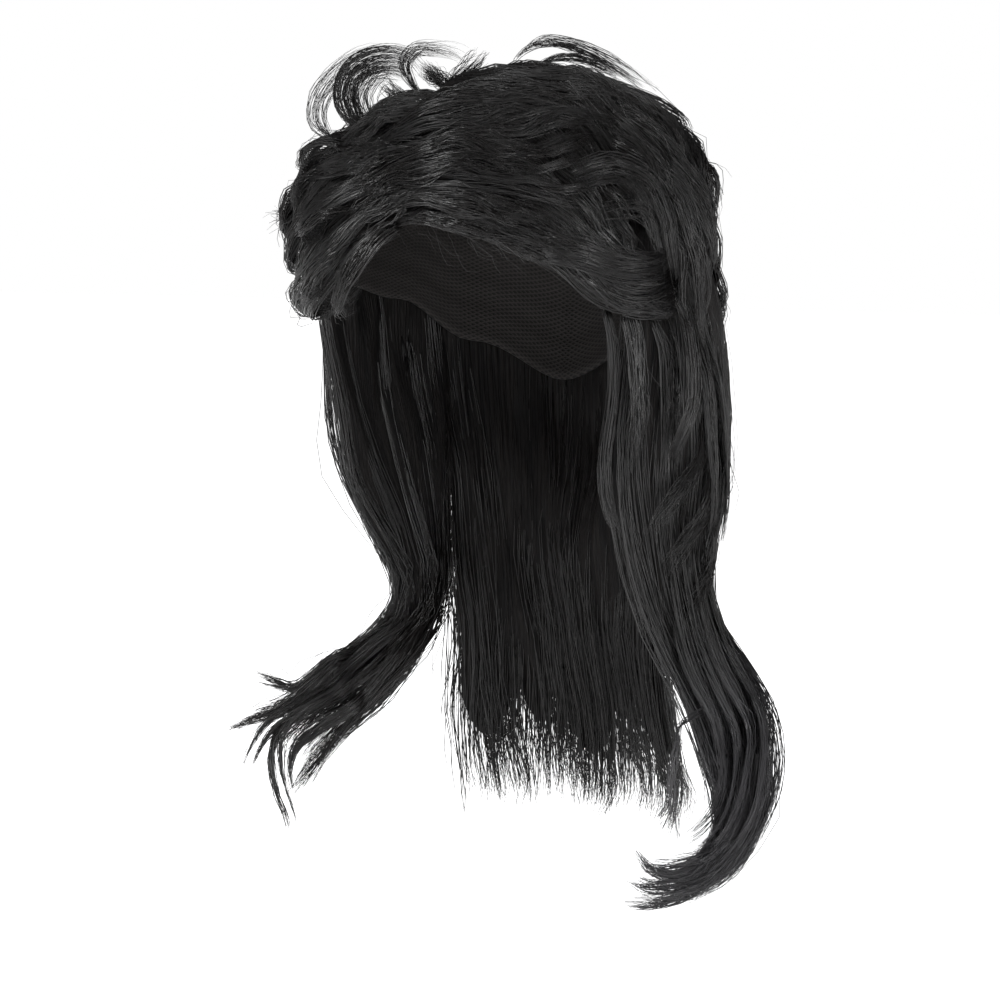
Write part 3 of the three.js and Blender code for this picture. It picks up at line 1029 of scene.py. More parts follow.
    def draw_clumps(self, rng: np.random.Generator) -> Clumps:
        """Draws the bunches: long ones over and under the mass, and feathered ones that start lower down.

        Args:
            rng: Source of the group's own values.

        Returns:
            The bunches.
        """
        nap, n = self.nap, self.nap.clumps
        place = ((np.arange(n) + rng.random(n)) / n * 2.0 - 1.0) * self.STRAND_BREADTH
        lock = self.lock_of(place)
        feather = rng.random(n) < nap.feathered
        inner = (rng.random(n) < nap.inner) & ~feather
        root = np.where(feather, rng.uniform(*self.FEATHER_ROOT, n), rng.uniform(0.0, nap.ragged, n))
        reach = 1.0 - self.shorts[lock] - rng.uniform(0.0, nap.uneven, n)
        tip = np.where(feather, np.minimum(root + rng.uniform(*self.FEATHER_LENGTH, n), reach), reach)
        depth = np.where(inner, rng.uniform(*self.UNDER_DEPTH, n), rng.uniform(*self.OVER_DEPTH, n))
        depth = np.where(feather, rng.uniform(*self.FEATHER_DEPTH, n), depth)
        depth = rng.uniform(-1.0, 1.0, n) if nap.fill else depth
        flick = np.where(feather, rng.uniform(*self.FEATHER_FLICK, n), rng.uniform(*self.OVER_FLICK, n))
        lean = rng.normal(0.0, nap.lean, n)
        shift = np.where(feather, rng.normal(0.0, self.FEATHER_SHIFT, n), rng.normal(0.0, self.OVER_SHIFT, n))
        shade = rng.integers(0, TONE_COLUMNS, n)
        sway = nap.wave * rng.uniform(0.5, 1.4, n)
        pace = nap.wave_length * rng.uniform(0.8, 1.25, n)
        phase = rng.uniform(0.0, 2 * np.pi, n) * 0.35 + place * 2.0
        pull = (self.edges[lock] + self.edges[lock + 1]) / 2.0 - place
        return Clumps(place, pull, root, tip, depth, nap.flick * flick, lean, shift, shade, sway, pace, phase)

    def lay_strands(self) -> Strands:
        """Works out the strands, bunch by bunch.

        Returns:
            The strands of this group.
        """
        nap = self.nap
        rng = np.random.default_rng(self.seed)
        of = self.draw_clumps(rng).for_strands(nap.strands)
        each = of.place.shape
        k = np.linspace(0.0, 1.0, nap.points)[None, :]
        jitter = rng.uniform(-self.ROOT_JITTER, max(self.ROOT_JITTER, nap.ragged), each)
        start = np.clip(of.root + jitter, 0.0, 1.0)
        cut = np.clip(np.abs(rng.normal(0.0, self.CUT_SPREAD, each)), 0.0, self.CUT_MOST)
        along = start + (of.tip - start) * (1.0 - cut) * k
        across = of.place + of.lean * k
        across = across + of.pull * nap.gather * ease(along, 0.5, 1.0)
        spot = self.surface.sample(across, along)
        half = spot.thick / 2.0 * self.crest(np.clip(across, -1.0, 1.0))
        rise = ease(k, 0.0, 0.25)
        level = of.depth * rise - self.ROOT_SINK * (1.0 - rise)
        turn = 2 * np.pi * along * self.surface.length / of.pace + of.phase
        turn = turn + rng.normal(0.0, 0.25, each)
        ramp = ease(k, 0.02, 0.5)
        narrowing = 1.0 - (1.0 - nap.tip_spread) * ease(k, 0.4, 1.0)
        width = nap.spread * (0.7 + 0.3 * ease(k, 0.0, 0.3)) * narrowing
        aside = rng.uniform(-1.0, 1.0, each) * width + of.sway * ramp * np.sin(turn)
        out = half * level + rng.uniform(-1.0, 1.0, each) * width * (0.7 if nap.fill else 0.3)
        out = out + 0.4 * of.sway * ramp * np.cos(turn) + of.flick * k**3
        out = out + self.swell_at(across + of.shift, along)
        free = rng.random(each) < nap.loose
        wander = nap.stray * np.where(free, rng.uniform(*self.LOOSE_WANDER, each), 1.0)
        aside = aside + self._drift(rng, k, len(free)) * wander
        out = out + (self._drift(rng, k, len(free)) * 0.7 + np.where(free, 0.5, 0.0) * k) * wander
        centre = spot.centre + spot.wide * aside[..., None] + spot.thin * out[..., None]
        wide, thin = spot.wide, spot.thin
        if nap.curl:
            centre, wide, thin = self._roll_ends(rng, centre, wide, k)
        radius = nap.radius * rng.uniform(0.75, 1.15, each) * (1.0 - 0.7 * ease(k, 0.65, 1.0))
        radius = radius * np.where(free, 0.6, 1.0)
        tone = (of.shade[:, 0] + rng.integers(0, 4, len(free))) % TONE_COLUMNS
        return Strands(centre, wide, thin, radius, tone)

    def _roll_ends(
        self, rng: np.random.Generator, centre: np.ndarray, wide: np.ndarray, k: np.ndarray
    ) -> tuple[np.ndarray, np.ndarray, np.ndarray]:
        """Rolls the ends of the strands under, towards the head.

        Args:
            rng: Source of the strands' own values.
            centre: Centre lines of the strands.
            wide: Directions across the group.
            k: Fractions along the strands.

        Returns:
            The centre lines, the directions across and the directions out.
        """
        nap, number = self.nap, len(centre)
        first = int(np.searchsorted(k[0], nap.curl_from))
        base = centre[:, first : first + 1]
        ahead = unit(base - centre[:, first - 1 : first])
        level = unit(wide[:, first : first + 1])
        level = unit(level - (level * ahead).sum(-1, keepdims=True) * ahead)
        outward = np.cross(ahead, level)
        share = (k[:, first:] - k[:, first : first + 1]) / (1.0 - k[:, first : first + 1])
        angle = (np.radians(nap.curl_turn) * rng.uniform(0.75, 1.15, (number, 1)) * share)[..., None]
        size = nap.curl * rng.uniform(0.7, 1.25, (number, 1))[..., None]
        centre, wide = centre.copy(), wide.copy()
        tangent = unit(np.gradient(centre, axis=1))
        thin = unit(np.cross(tangent, wide))
        centre[:, first:] = base + size * (np.sin(angle) * ahead + (np.cos(angle) - 1.0) * outward)
        wide[:, first:] = level
        thin[:, first:] = np.cos(angle) * outward + np.sin(angle) * ahead
        return centre, wide, thin

    @classmethod
    def _drift(cls, rng: np.random.Generator, k: np.ndarray, number: int) -> np.ndarray:
        """Slow wandering of single strands off their lock.

        Args:
            rng: Source of the strands' own values.
            k: Fractions along the strands.
            number: How many strands.

        Returns:
            Wandering as a share of its size, strands by points.
        """
        total = np.zeros((number, k.size))
        for cycles, size in cls.WANDERINGS:
            pace = cycles * rng.uniform(0.7, 1.3, (number, 1))
            total += size * np.sin(2 * np.pi * (pace * k + rng.random((number, 1))))
        return total * ease(k, 0.0, 0.6)

    def build(self, strand_look: bpy.types.Material, mass_look: bpy.types.Material) -> list[bpy.types.Object]:
        """Makes the group's pieces and sets them in the frame.

        Args:
            strand_look: Finish of the strands.
            mass_look: Finish of the mass.

        Returns:
            The pieces.
        """
        mass = self.build_mass(mass_look)
        joined = StrandMesh(f"{self.name}_strands")
        for group in (self, *self.extra):
            joined.add(group.lay_strands())
        strands = joined.build(strand_look)
        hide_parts(self.name)
        for piece in (mass, strands):
            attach(piece, "root")
        return [mass, strands]


@dataclass
class LooseCurl:
    """A see-through curl that stands clear of the crown: bare strands, nested at many heights."""

    name: str
    groups: tuple[HairGroup, ...]

    def build(self, look: bpy.types.Material) -> list[bpy.types.Object]:
        """Makes the curl and sets it in the frame.

        Args:
            look: Finish of the strands.

        Returns:
            The piece.
        """
        joined = StrandMesh(f"{self.name}_strands")
        for group in self.groups:
            joined.add(group.lay_strands())
        made = joined.build(look)
        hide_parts(self.name)
        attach(made, "root")
        return [made]


@dataclass(frozen=True)
class LockPath:
    """The line of one lock that lies apart, from root to tip.

    Its rows on the head are side, fan_side, over, fan_over, lift and, unless it is nought, fan_lift. Those
    where it hangs are turn, fan, out, up and tilt.
    """

    name: str
    thick: float
    on_head: tuple[tuple[float, ...], ...] = ()
    hanging: tuple[tuple[float, ...], ...] = ()
    end_thick: float | None = None

    def stations(self) -> tuple[Station, ...]:
        """The rows as stations, with the thickness that they share and that of the tip."""
        rows: list[Station] = [OnHead(*(*row, 0.0)[:6], self.thick) for row in self.on_head]
        for turn, fan, out, up, tilt in self.hanging:
            rows.append(Hanging(turn, fan, out, 0.0, up, tilt, self.thick))
        rows[-1] = replace(rows[-1], thick=self.end_thick or self.thick)
        return tuple(rows)

    def lock(self, nap: Nap, seed: int, swell: float = 0.0) -> HairGroup:
        """The lock, without a mass under it.

        Args:
            nap: How its strands lie.
            seed: Seed of its strands' own values.
            swell: Height of the long waves that it lies in.

        Returns:
            The lock.
        """
        return single_lock(self.name, self.stations(), nap, seed, swell)


def single_lock(
    name: str, stations: tuple[Station, ...], nap: Nap, seed: int, swell: float = 0.0
) -> HairGroup:
    """A group that is one lock.

    Args:
        name: What the lock is.
        stations: Rows of its table.
        nap: How its strands lie.
        seed: Seed of its strands' own values.
        swell: Height of the long waves that it lies in.

    Returns:
        The lock.
    """
    return HairGroup(name, stations, nap, locks=1, valley=0.8, first_form=2, seed=seed, swell=swell)


def lay_locks(paths: tuple[LockPath, ...], nap: Nap, seed: int, swell: float = 0.0) -> tuple[HairGroup, ...]:
    """Several locks that lie alike.

    Args:
        paths: Their lines.
        nap: How their strands lie.
        seed: Seed of the first lock, and one more for each after it.
        swell: Height of the long waves that they lie in.

    Returns:
        The locks.
    """
    return tuple(path.lock(nap, seed + i, swell) for i, path in enumerate(paths))


def pointed_lock(name: str, fan: float, path: tuple[tuple[float, float, float], ...]) -> LockPath:
    """The line of a narrow lock of hanging hair.

    Args:
        name: What the lock is.
        fan: Half of its breadth, as an angle round the head.
        path: Its turn, its distance out and its height, from root to tip.

    Returns:
        The line.
    """
    return LockPath(name, 6.0, hanging=tuple((turn, fan, out, up, 2.0) for turn, out, up in path))


@dataclass
class Cap:
    """The hollow cap: an elastic net wall with sewn wefts inside and a hem at its rim."""

    HEM_STEP = 0.012
    WEFT_STEP = (0.86, 0.97)
    WEFTS_FROM = (0.12, 0.2)
    WEFTS_TO = (0.93, 0.95)

    columns: int = 72
    rows: int = 48
    wefts: int = 11
    weft_height: float = 0.9
    hem_from: float = 0.955
    hem_height: float = 0.7

    def build(self, look: bpy.types.Material) -> list[bpy.types.Object]:
        """Makes the cap and sets it in the frame.

        Args:
            look: Finish of the net.

        Returns:
            The piece.
        """
        shell = Shell(self.columns, self.rows)
        verts, x, y, inner = shell.places()
        turn = x * 360.0 - 180.0
        hem = ease(y, self.hem_from - self.HEM_STEP, self.hem_from) * self.hem_height
        row = np.abs(np.sin(np.pi * self.wefts * np.clip(y / self.hem_from, 0.0, 1.0)))
        weft = ease(row, *self.WEFT_STEP) * self.weft_height * ease(y, *self.WEFTS_FROM)
        weft = weft * (1.0 - ease(y, *self.WEFTS_TO))
        lift = np.where(inner > 0.5, -weft - 0.3 * hem, HEAD.wall)
        places = HEAD.on_dome(y * HEAD.rim_down(turn), turn, lift)
        shell.set(verts, places)
        made = shell.build("wig_cap_net", look, merge=1e-5)
        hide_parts("wig_cap")
        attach(made, "root")
        return [made]


@dataclass
class ShortHair:
    """The dense short hair next to the cap, with fine strands along the hairline."""

    RIDGES = ((23, 0.35), (41, 0.3), (67, 0.2))
    GAP = 0.3
    HAIR_POINTS = 9
    HAIR_TURNS = (-100.0, 100.0)
    HAIR_SWEEP = (8.0, 34.0)
    HAIR_ROOT = (0.965, 0.995)
    HAIR_LENGTH = (0.05, 0.32)
    HAIR_LIFT = 2.6
    HAIR_RISE = (3.0, 7.5)
    HAIR_RADIUS = 0.22

    columns: int = 120
    rows: int = 32
    depth: float = 8.4
    rim_depth: float = 1.4
    thins_from: float = 0.62
    reach: float = 0.972
    hairline: int = 480
    parting: float = -12.0
    seed: int = 71
    wisps: tuple[HairGroup, ...] = ()

    def build(self, look: bpy.types.Material, strand_look: bpy.types.Material) -> list[bpy.types.Object]:
        """Makes the short hair and sets it in the frame.

        Args:
            look: Finish of the dense hair.
            strand_look: Finish of the single strands.

        Returns:
            The pieces.
        """
        rng = np.random.default_rng(self.seed)
        shell = Shell(self.columns, self.rows)
        verts, x, y, inner = shell.places()
        turn = x * 360.0 - 180.0
        ridges = np.zeros_like(x)
        for cycles, size in self.RIDGES:
            ridges += size * np.cos(2 * np.pi * cycles * x + rng.uniform(0.0, 6.3) + 2.0 * y)
        top = self.depth + (self.rim_depth - self.depth) * ease(y, self.thins_from, 1.0)
        top = top + ridges * ease(y, 0.15, 0.4) * (1.0 - 0.6 * ease(y, 0.8, 1.0))
        lift = HEAD.wall + self.GAP + np.where(inner > 0.5, 0.0, top)
        places = HEAD.on_dome(y * self.reach * HEAD.rim_down(turn), turn, lift)
        shell.set(verts, places)
        mass = shell.build("under_hair_mass", look, merge=1e-5)
        joined = StrandMesh("under_hair_strands")
        joined.add(self.lay_hairline(rng))
        for wisp in self.wisps:
            joined.add(wisp.lay_strands())
        strands = joined.build(strand_look)
        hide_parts("under_hair")
        for piece in (mass, strands):
            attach(piece, "root")
        return [mass, strands]

    def lay_hairline(self, rng: np.random.Generator) -> Strands:
        """Short strands that rise from the rim of the cap and lie back over it.

        Args:
            rng: Source of the strands' own values.

        Returns:
            The strands.
        """
        each = (self.hairline, 1)
        k = np.linspace(0.0, 1.0, self.HAIR_POINTS)[None, :]
        turn = rng.uniform(*self.HAIR_TURNS, each)
        sweep = np.where(turn > self.parting, 1.0, -1.0) * rng.uniform(*self.HAIR_SWEEP, each)
        share = rng.uniform(*self.HAIR_ROOT, each) - rng.uniform(*self.HAIR_LENGTH, each) * k
        lift = self.HAIR_LIFT + rng.uniform(*self.HAIR_RISE, each) * np.sin(np.pi * 0.55 * k)
        lift = lift + rng.normal(0.0, 0.3, each)
        path_turn = turn + sweep * k**1.3 + rng.normal(0.0, 1.0, each) * np.sin(3.0 * k)
        centre = HEAD.on_dome(share * HEAD.rim_down(path_turn), path_turn, lift)
        tangent = unit(np.gradient(centre, axis=1))
        thin = unit(centre - np.array([0.0, 0.0, -HEAD.dome]))
        wide = unit(np.cross(thin, tangent))
        thin = np.cross(tangent, wide)
        radius = self.HAIR_RADIUS * rng.uniform(0.7, 1.1, each) * (1.0 - 0.7 * ease(k, 0.6, 1.0))
        return Strands(centre, wide, thin, radius, rng.integers(0, TONE_COLUMNS, self.hairline))


@dataclass(frozen=True)
class Softbox:
    """A square area light: where it stands, what it points at, the length of its sides and its watts."""

    name: str
    place: tuple[float, float, float]
    aim: tuple[float, float, float]
    size: float
    power: float

    def build(self) -> None:
        """Adds the light."""
        data = bpy.data.lights.new(self.name, "AREA")
        data.shape = "SQUARE"
        data.size = self.size
        data.energy = self.power
        light = add_object(self.name, data)
        light.location = self.place
        light.rotation_euler = (Vector(self.aim) - light.location).to_track_quat("-Z", "Y").to_euler()


SOFTBOXES = (
    Softbox("key_light", (-0.9, -1.9, 1.15), (0.0, 0.0, -0.1), 0.8, 46.0),
    Softbox("fill_light", (2.0, -1.2, 0.45), (0.0, 0.0, -0.2), 0.7, 20.0),
    Softbox("low_light", (1.3, -1.1, -0.1), (0.1, 0.0, -0.32), 0.6, 5.0),
    Softbox("front_light", (0.3, -1.8, -0.25), (0.05, 0.0, -0.3), 0.5, 6.0),
    Softbox("side_light", (1.8, 0.2, -0.2), (0.1, 0.0, -0.3), 0.6, 7.0),
)


@dataclass
class Studio:
    """Floor, soft lights and the camera. The wide overhead light is in watts a square metre and degrees."""

    azimuth: float = 25.0
    elevation: float = 7.0
    distance: float = 1.45
    aim_up: float = -0.207
    aim_right: float = 0.0016
    lens: float = 98.5
    floor_up: float = -0.44
    world: float = 0.08
    glow: float = 0.9
    overhead: float = 1.0
    overhead_breadth: float = 60.0

    def build(self) -> None:
        """Sets up the whole studio."""
        self._camera()
        self._floor()
        self._world()
        self._overhead()
        for softbox in SOFTBOXES:
            softbox.build()
        bpy.context.scene.view_settings.view_transform = "Standard"

    def _camera(self) -> None:
        """The camera, at the photograph's viewing angle."""
        turn, rise = math.radians(self.azimuth), math.radians(self.elevation)
        back = Vector((math.sin(turn) * math.cos(rise), -math.cos(turn) * math.cos(rise), math.sin(rise)))
        right = Vector((math.cos(turn), math.sin(turn), 0.0))
        aim = Vector((0.0, 0.0, self.aim_up)) + right * self.aim_right
        data = bpy.data.cameras.new("camera")
        data.sensor_width = 36.0
        data.lens = self.lens
        camera = add_object("camera", data)
        camera.location = aim + back * self.distance
        camera.rotation_euler = (-back).to_track_quat("-Z", "Y").to_euler()
        bpy.context.scene.camera = camera

    def _floor(self) -> None:
        """A plain pale floor with a soft mottle."""
        bm = bmesh.new()
        bmesh.ops.create_grid(bm, x_segments=2, y_segments=2, size=6.0)
        bmesh.ops.translate(bm, verts=list(bm.verts), vec=(0.0, 0.0, self.floor_up))
        mesh = bpy.data.meshes.new("floor")
        bm.to_mesh(mesh)
        bm.free()
        material, sheet, shader = new_material("pale_floor")
        shader.inputs["Roughness"].default_value = 0.8
        shader.inputs["Specular IOR Level"].default_value = 0.2
        shader.inputs["Emission Color"].default_value = (1.0, 1.0, 1.0, 1.0)
        shader.inputs["Emission Strength"].default_value = self.glow
        place = sheet.add("ShaderNodeTexCoord")
        noise = sheet.add("ShaderNodeTexNoise")
        noise.inputs["Scale"].default_value = 3.0
        sheet.join(place.outputs["Object"], noise.inputs["Vector"])
        colour = sheet.blend((0.9, 0.9, 0.91, 1.0), (0.95, 0.95, 0.955, 1.0), noise.outputs[0])
        sheet.join(colour, shader.inputs["Base Color"])
        mesh.materials.append(material)
        floor = add_object("floor", mesh)
        floor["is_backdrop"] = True

    def _world(self) -> None:
        """White surroundings, softer on the hair than they look."""
        world = bpy.data.worlds.new("studio")
        world.use_nodes = True
        sheet = NodeSheet(world.node_tree)
        shade = world.node_tree.nodes["Background"]
        shade.inputs["Color"].default_value = (1.0, 1.0, 1.0, 1.0)
        path = sheet.add("ShaderNodeLightPath")
        strength = sheet.add("ShaderNodeMapRange")
        strength.inputs["To Min"].default_value = self.world
        strength.inputs["To Max"].default_value = 1.0
        sheet.join(path.outputs["Is Camera Ray"], strength.inputs["Value"])
        sheet.join(strength.outputs[0], shade.inputs["Strength"])
        bpy.context.scene.world = world

    def _overhead(self) -> None:
        """A wide soft light from straight above."""
        data = bpy.data.lights.new("top_light", "SUN")
        data.energy = self.overhead
        data.angle = math.radians(self.overhead_breadth)
        add_object("top_light", data)


def hair_groups() -> list[HairGroup]:
    """The sheets of hair.

    Returns:
        The groups, in the order in which they are laid.
    """
    fringe = HairGroup(
        "fringe_left",
        (
            OnHead(-17, -14, 41, 17, 7, 5, 6),
            OnHead(12, -6, 40, 19, 14, 6, 13),
            OnHead(37, -2, 38, 20, 20, 4, 16),
            OnHead(57, -3, 24, 20, 24, 2, 14),
            OnHead(71, -9, 9, 22, 26, 2, 11),
            OnHead(79, -11, 14, 22, 22, 2, 8),
        ),
        Nap(32, 26, lean=0.12, wave=2.4, wave_length=62, feathered=0.4, flick=1.0, inner=0.12, spread=6.0),
        locks=6, valley=0.45, first_form=0, seed=11, swell=1.6, extra=fringe_locks(),
    )
    temple = HairGroup(
        "right_temple",
        (
            OnHead(-19, 13, 40, -18, 7, -5, 6),
            OnHead(-32, 9, 35, -22, 13, -4, 13),
            OnHead(-46, 3, 27, -25, 17, -6, 16),
            OnHead(-56, 0, 20, -25, 19, -9, 15),
            OnHead(-62, -2, 15, -25, 18, -10, 13),
            OnHead(-65, -1, 8, -24, 12, -8, 9),
        ),
        Nap(
            28, 28, points=13, lean=0.06, wave=1.8, wave_length=46, feathered=0.25, flick=1.0, inner=0.12,
            gather=0.85, uneven=0.05, curl=7.5, curl_turn=220,
        ),
        locks=5, valley=0.45, first_form=2, seed=12, mass_tip=0.74, swell=1.2, swell_length=44,
        extra=temple_lobes(),
    )
    crown_left = HairGroup(
        "crown_left",
        (
            OnHead(-28, 4, 96, 34, 9, 0, 5),
            OnHead(0, 0, 95, 36, 11, 0, 9),
            OnHead(29, 0, 92, 37, 24, 2, 14),
            OnHead(52, 0, 89, 43, 32, 3, 15),
            Hanging(93, 28, 105, 4, -56, -4, 14),
            Hanging(97, 30, 106, 4, -86, -20, 10),
        ),
        Nap(
            46, 30, lean=0.1, wave=2.6, wave_length=64, feathered=0.5, flick=0.5, inner=0.1, spread=6.5,
            curl=14.0, curl_from=0.8, curl_turn=50,
        ),
        locks=5, valley=0.5, first_form=1, seed=13, swell=2.4, swell_length=66, extra=crown_locks(),
    )
    crown_right = HairGroup(
        "crown_right",
        (
            OnHead(-30, -3, 92, -36, 9, 0, 5),
            OnHead(-41, -1, 90, -38, 18, 0, 12),
            OnHead(-53, 0, 87, -42, 25, 0, 15),
            OnHead(-65, 0, 86, -47, 29, 0, 15),
            Hanging(-95, 25, 109, 0, -72, 4, 13),
            Hanging(-98, 28, 107, 0, -100, 14, 9),
        ),
        Nap(
            30, 24, lean=0.08, wave=2.6, wave_length=58, feathered=0.45, flick=1.0, inner=0.1, spread=6.0,
            curl=9.0, curl_turn=80,
        ),
        locks=5, valley=0.5, first_form=4, seed=14, swell=2.0, extra=crown_right_locks(),
    )
    crown_back = HairGroup(
        "crown_back",
        (
            OnHead(0, -46, 114, 0, 11, 0, 5),
            OnHead(0, -54, 136, 0, 21, 0, 13),
            OnHead(0, -62, 158, 0, 31, 0, 16),
            Hanging(180, 62, 110, 0, -104, 0, 15),
            Hanging(180, 60, 106, 0, -160, 0, 9),
        ),
        Nap(36, 22, wave=2.4, wave_length=64, feathered=0.45, flick=0.5, inner=0.1, spread=9.0),
        locks=6, valley=0.5, first_form=3, seed=15, swell=2.4, swell_length=70,
    )
    left_lengths = HairGroup(
        "left_lengths",
        (
            Hanging(102, 30, 94, 0, -52, 0, 6),
            Hanging(102, 30, 104, 14, -120, 0, 12),
            Hanging(104, 31, 101, 17, -195, 0, 15),
            Hanging(106, 22, 97, 9, -260, 0, 13),
            Hanging(110, 5, 119, 16, -325, 0, 18),
            Hanging(97, 2, 133, 11, -363, 0, 17),
            Hanging(89, 1, 131, 6, -383, -6, 16),
            Hanging(77, 0, 122, 4, -394, -10, 13),
            Hanging(63, -1, 114, 0, -386, -14, 9),
        ),
        Nap(
            36, 25, points=14, lean=0.06, wave=2.4, wave_length=140, feathered=0.25, flick=2.0, inner=0.3,
            stray=1.6,
        ),
        locks=6, valley=0.68, first_form=5, seed=16, mass_rows=44, mass_tip=0.72, swell=1.6,
        swell_length=120, extra=left_locks(),
    )
    right_lengths = HairGroup(
        "right_lengths",
        (
            Hanging(-102, 28, 91, 0, -54, 0, 6),
            Hanging(-105, 27, 92, 0, -122, 0, 12),
            Hanging(-110, 22, 85, 0, -195, 0, 14),
            Hanging(-115, 12, 69, 0, -262, 0, 15),
            Hanging(-97, 3, 78, 8, -303, 10, 17),
            Hanging(-84, 1, 105, 10, -332, 17, 15),
            Hanging(-78, 0, 130, 12, -355, 30, 11),
        ),
        Nap(
            36, 28, points=13, lean=0.06, wave=2.2, wave_length=130, feathered=0.25, flick=2.0, inner=0.4,
            stray=1.8,
        ),
        locks=5, valley=0.68, first_form=2, seed=17, mass_rows=40, mass_tip=0.68, swell=2.0,
        swell_length=110, extra=right_locks(),
    )
    back_lengths = HairGroup(
        "back_lengths",
        (
            Hanging(180, 56, 91, 0, -82, 0, 6),
            Hanging(180, 54, 92, 0, -165, 0, 13),
            Hanging(180, 48, 82, 0, -230, 0, 14),
            Hanging(180, 45, 86, 0, -290, 0, 15),
            Hanging(180, 43, 98, 0, -345, 0, 16),
            Hanging(180, 41, 105, 0, -385, 0, 14),
            Hanging(180, 40, 98, 0, -405, 0, 9),
        ),
        Nap(
            44, 24, points=12, radius=0.3, wave=2.6, wave_length=130, feathered=0.15, flick=2.0, inner=0.5,
            spread=9.0, tip_spread=0.7, stray=1.8, gather=0.1, uneven=0.14,
        ),
        locks=5, valley=0.6, first_form=0, seed=18, mass_rows=40, mass_tip=0.75, swell=2.6,
        swell_length=110, extra=back_fill(),
    )
    return [fringe, temple, crown_left, crown_right, crown_back, left_lengths, right_lengths, back_lengths]


def fringe_locks() -> tuple[HairGroup, ...]:
    """Waved locks that sweep from the parting over the top, and the roll at the left temple.

    Returns:
        The waved locks from the highest to the lowest, the roll, and a few hairs inside it.
    """
    bands = (
        LockPath("crest_wave", 8, (
            (-38, 3, 60, 5, 10), (-17, 2, 48, 4, 14), (-5, 0, 48, 4, 20), (6, -2, 50, 4, 24),
            (15, -2, 54, 4, 25), (24, -1, 57, 4, 28), (33, -2, 60, 4, 31), (42, -3, 67, 4, 33),
        )),
        LockPath("high_band", 7, (
            (-37, 2, 52, 4, 10), (-14, 1, 43, 3, 17), (-2, 0, 42, 3, 21), (8, -1, 43, 3, 25),
            (18, -2, 47, 3, 24), (26, -2, 50, 3, 26), (33, -2, 56, 3, 30), (41, -2, 64, 3, 33),
            (50, -2, 75, 3, 35),
        )),
        LockPath("middle_band", 8, (
            (-27, 1, 39, 5, 10), (-10, 0, 37, 4, 17), (2, 0, 37, 4, 21), (12, -1, 39, 4, 25),
            (21, -1, 40, 4, 23), (29, -1, 41, 4, 22), (36, -2, 44, 4, 27), (43, -3, 52, 3, 31),
            (50, -3, 61, 4, 33),
        )),
        LockPath("low_band", 8, (
            (-22, 0, 32, 5, 10), (-8, 0, 32, 4, 17), (4, 0, 32, 4, 21), (15, 0, 33, 4, 25),
            (24, 0, 33, 4, 23), (35, -1, 33, 4, 25), (44, -2, 36, 4, 29), (51, -2, 43, 4, 31),
        )),
        LockPath("front_wave", 7, (
            (-15, -1, 26, 4, 10), (-4, 0, 27, 3, 16), (7, 0, 28, 3, 19), (16, 0, 27, 3, 22),
            (26, 0, 27, 4, 22), (35, 0, 27, 4, 24), (43, 0, 26, 4, 26),
        )),
        LockPath("hairline_sweep", 6, (
            (-8, -1, 23, 3, 6), (-1, -1, 24, 3, 9), (7, 0, 25, 3, 11), (17, 1, 23, 3, 13),
            (28, 1, 21, 3, 15), (38, 1, 19, 4, 18), (48, 1, 16, 4, 21), (56, 2, 9, 4, 24),
        )),
    )
    curls = (
        LockPath("curl_over", 7, (
            (43, -2, 41, 3, 30), (49, -2, 50, 3, 34), (56, -1, 56, 4, 36), (61, 1, 57, 5, 36),
            (67, 1, 51, 6, 35),
        ), (
            (77, 2, 111, -74, 2), (79, 2, 111, -90, 2),
        )),
        LockPath("roll_upper", 7, (
            (40, 0, 19, 4, 23), (49, 0, 19, 5, 27), (58, 0, 18, 6, 30), (67, -1, 22, 7, 32),
        ), (
            (78, -1, 110, -75, 7),
        )),
        LockPath("roll_middle", 7, (
            (45, 1, 17, 4, 20), (53, 1, 13, 4, 25), (62, 0, 9, 6, 28), (71, -1, 12, 7, 30),
        ), (
            (80, -1, 109, -84, 6),
        )),
        LockPath("roll_lower", 6, (
            (50, 1, 15, 3, 17), (58, 1, 8, 4, 21), (66, 0, 1, 5, 24),
        ), (
            (76, 0, 106, -98, 5), (83, -1, 107, -92, 5),
        )),
    )
    inner = LockPath("curl_inner", 7, (
        (40, -1, 32, 3, 27), (48, -1, 34, 4, 30), (55, -1, 40, 4, 32), (60, 0, 45, 5, 33),
        (66, 1, 41, 5, 33),
    ), (
        (74, 2, 110, -76, 2),
    ))
    waved = Nap(
        5, 26, lean=0.4, wave=2.0, wave_length=56, feathered=0.3, flick=1.5, inner=0.15, spread=4.0,
        tip_spread=0.35, stray=1.2, gather=0.3, ragged=0.14,
    )
    smooth = Nap(
        5, 22, lean=0.25, wave=0.6, feathered=0.1, flick=0.0, inner=0.1, spread=4.0, tip_spread=0.7,
        stray=0.7, gather=0.1, uneven=0.12,
    )
    few = Nap(
        4, 9, radius=0.2, wave=0.8, feathered=0.1, flick=0.0, inner=0.2, spread=4.0, stray=1.6, gather=0.0,
        uneven=0.3, ragged=0.3,
    )
    return lay_locks(bands, waved, 141, 1.0) + lay_locks(curls, smooth, 151) + (inner.lock(few, 157),)


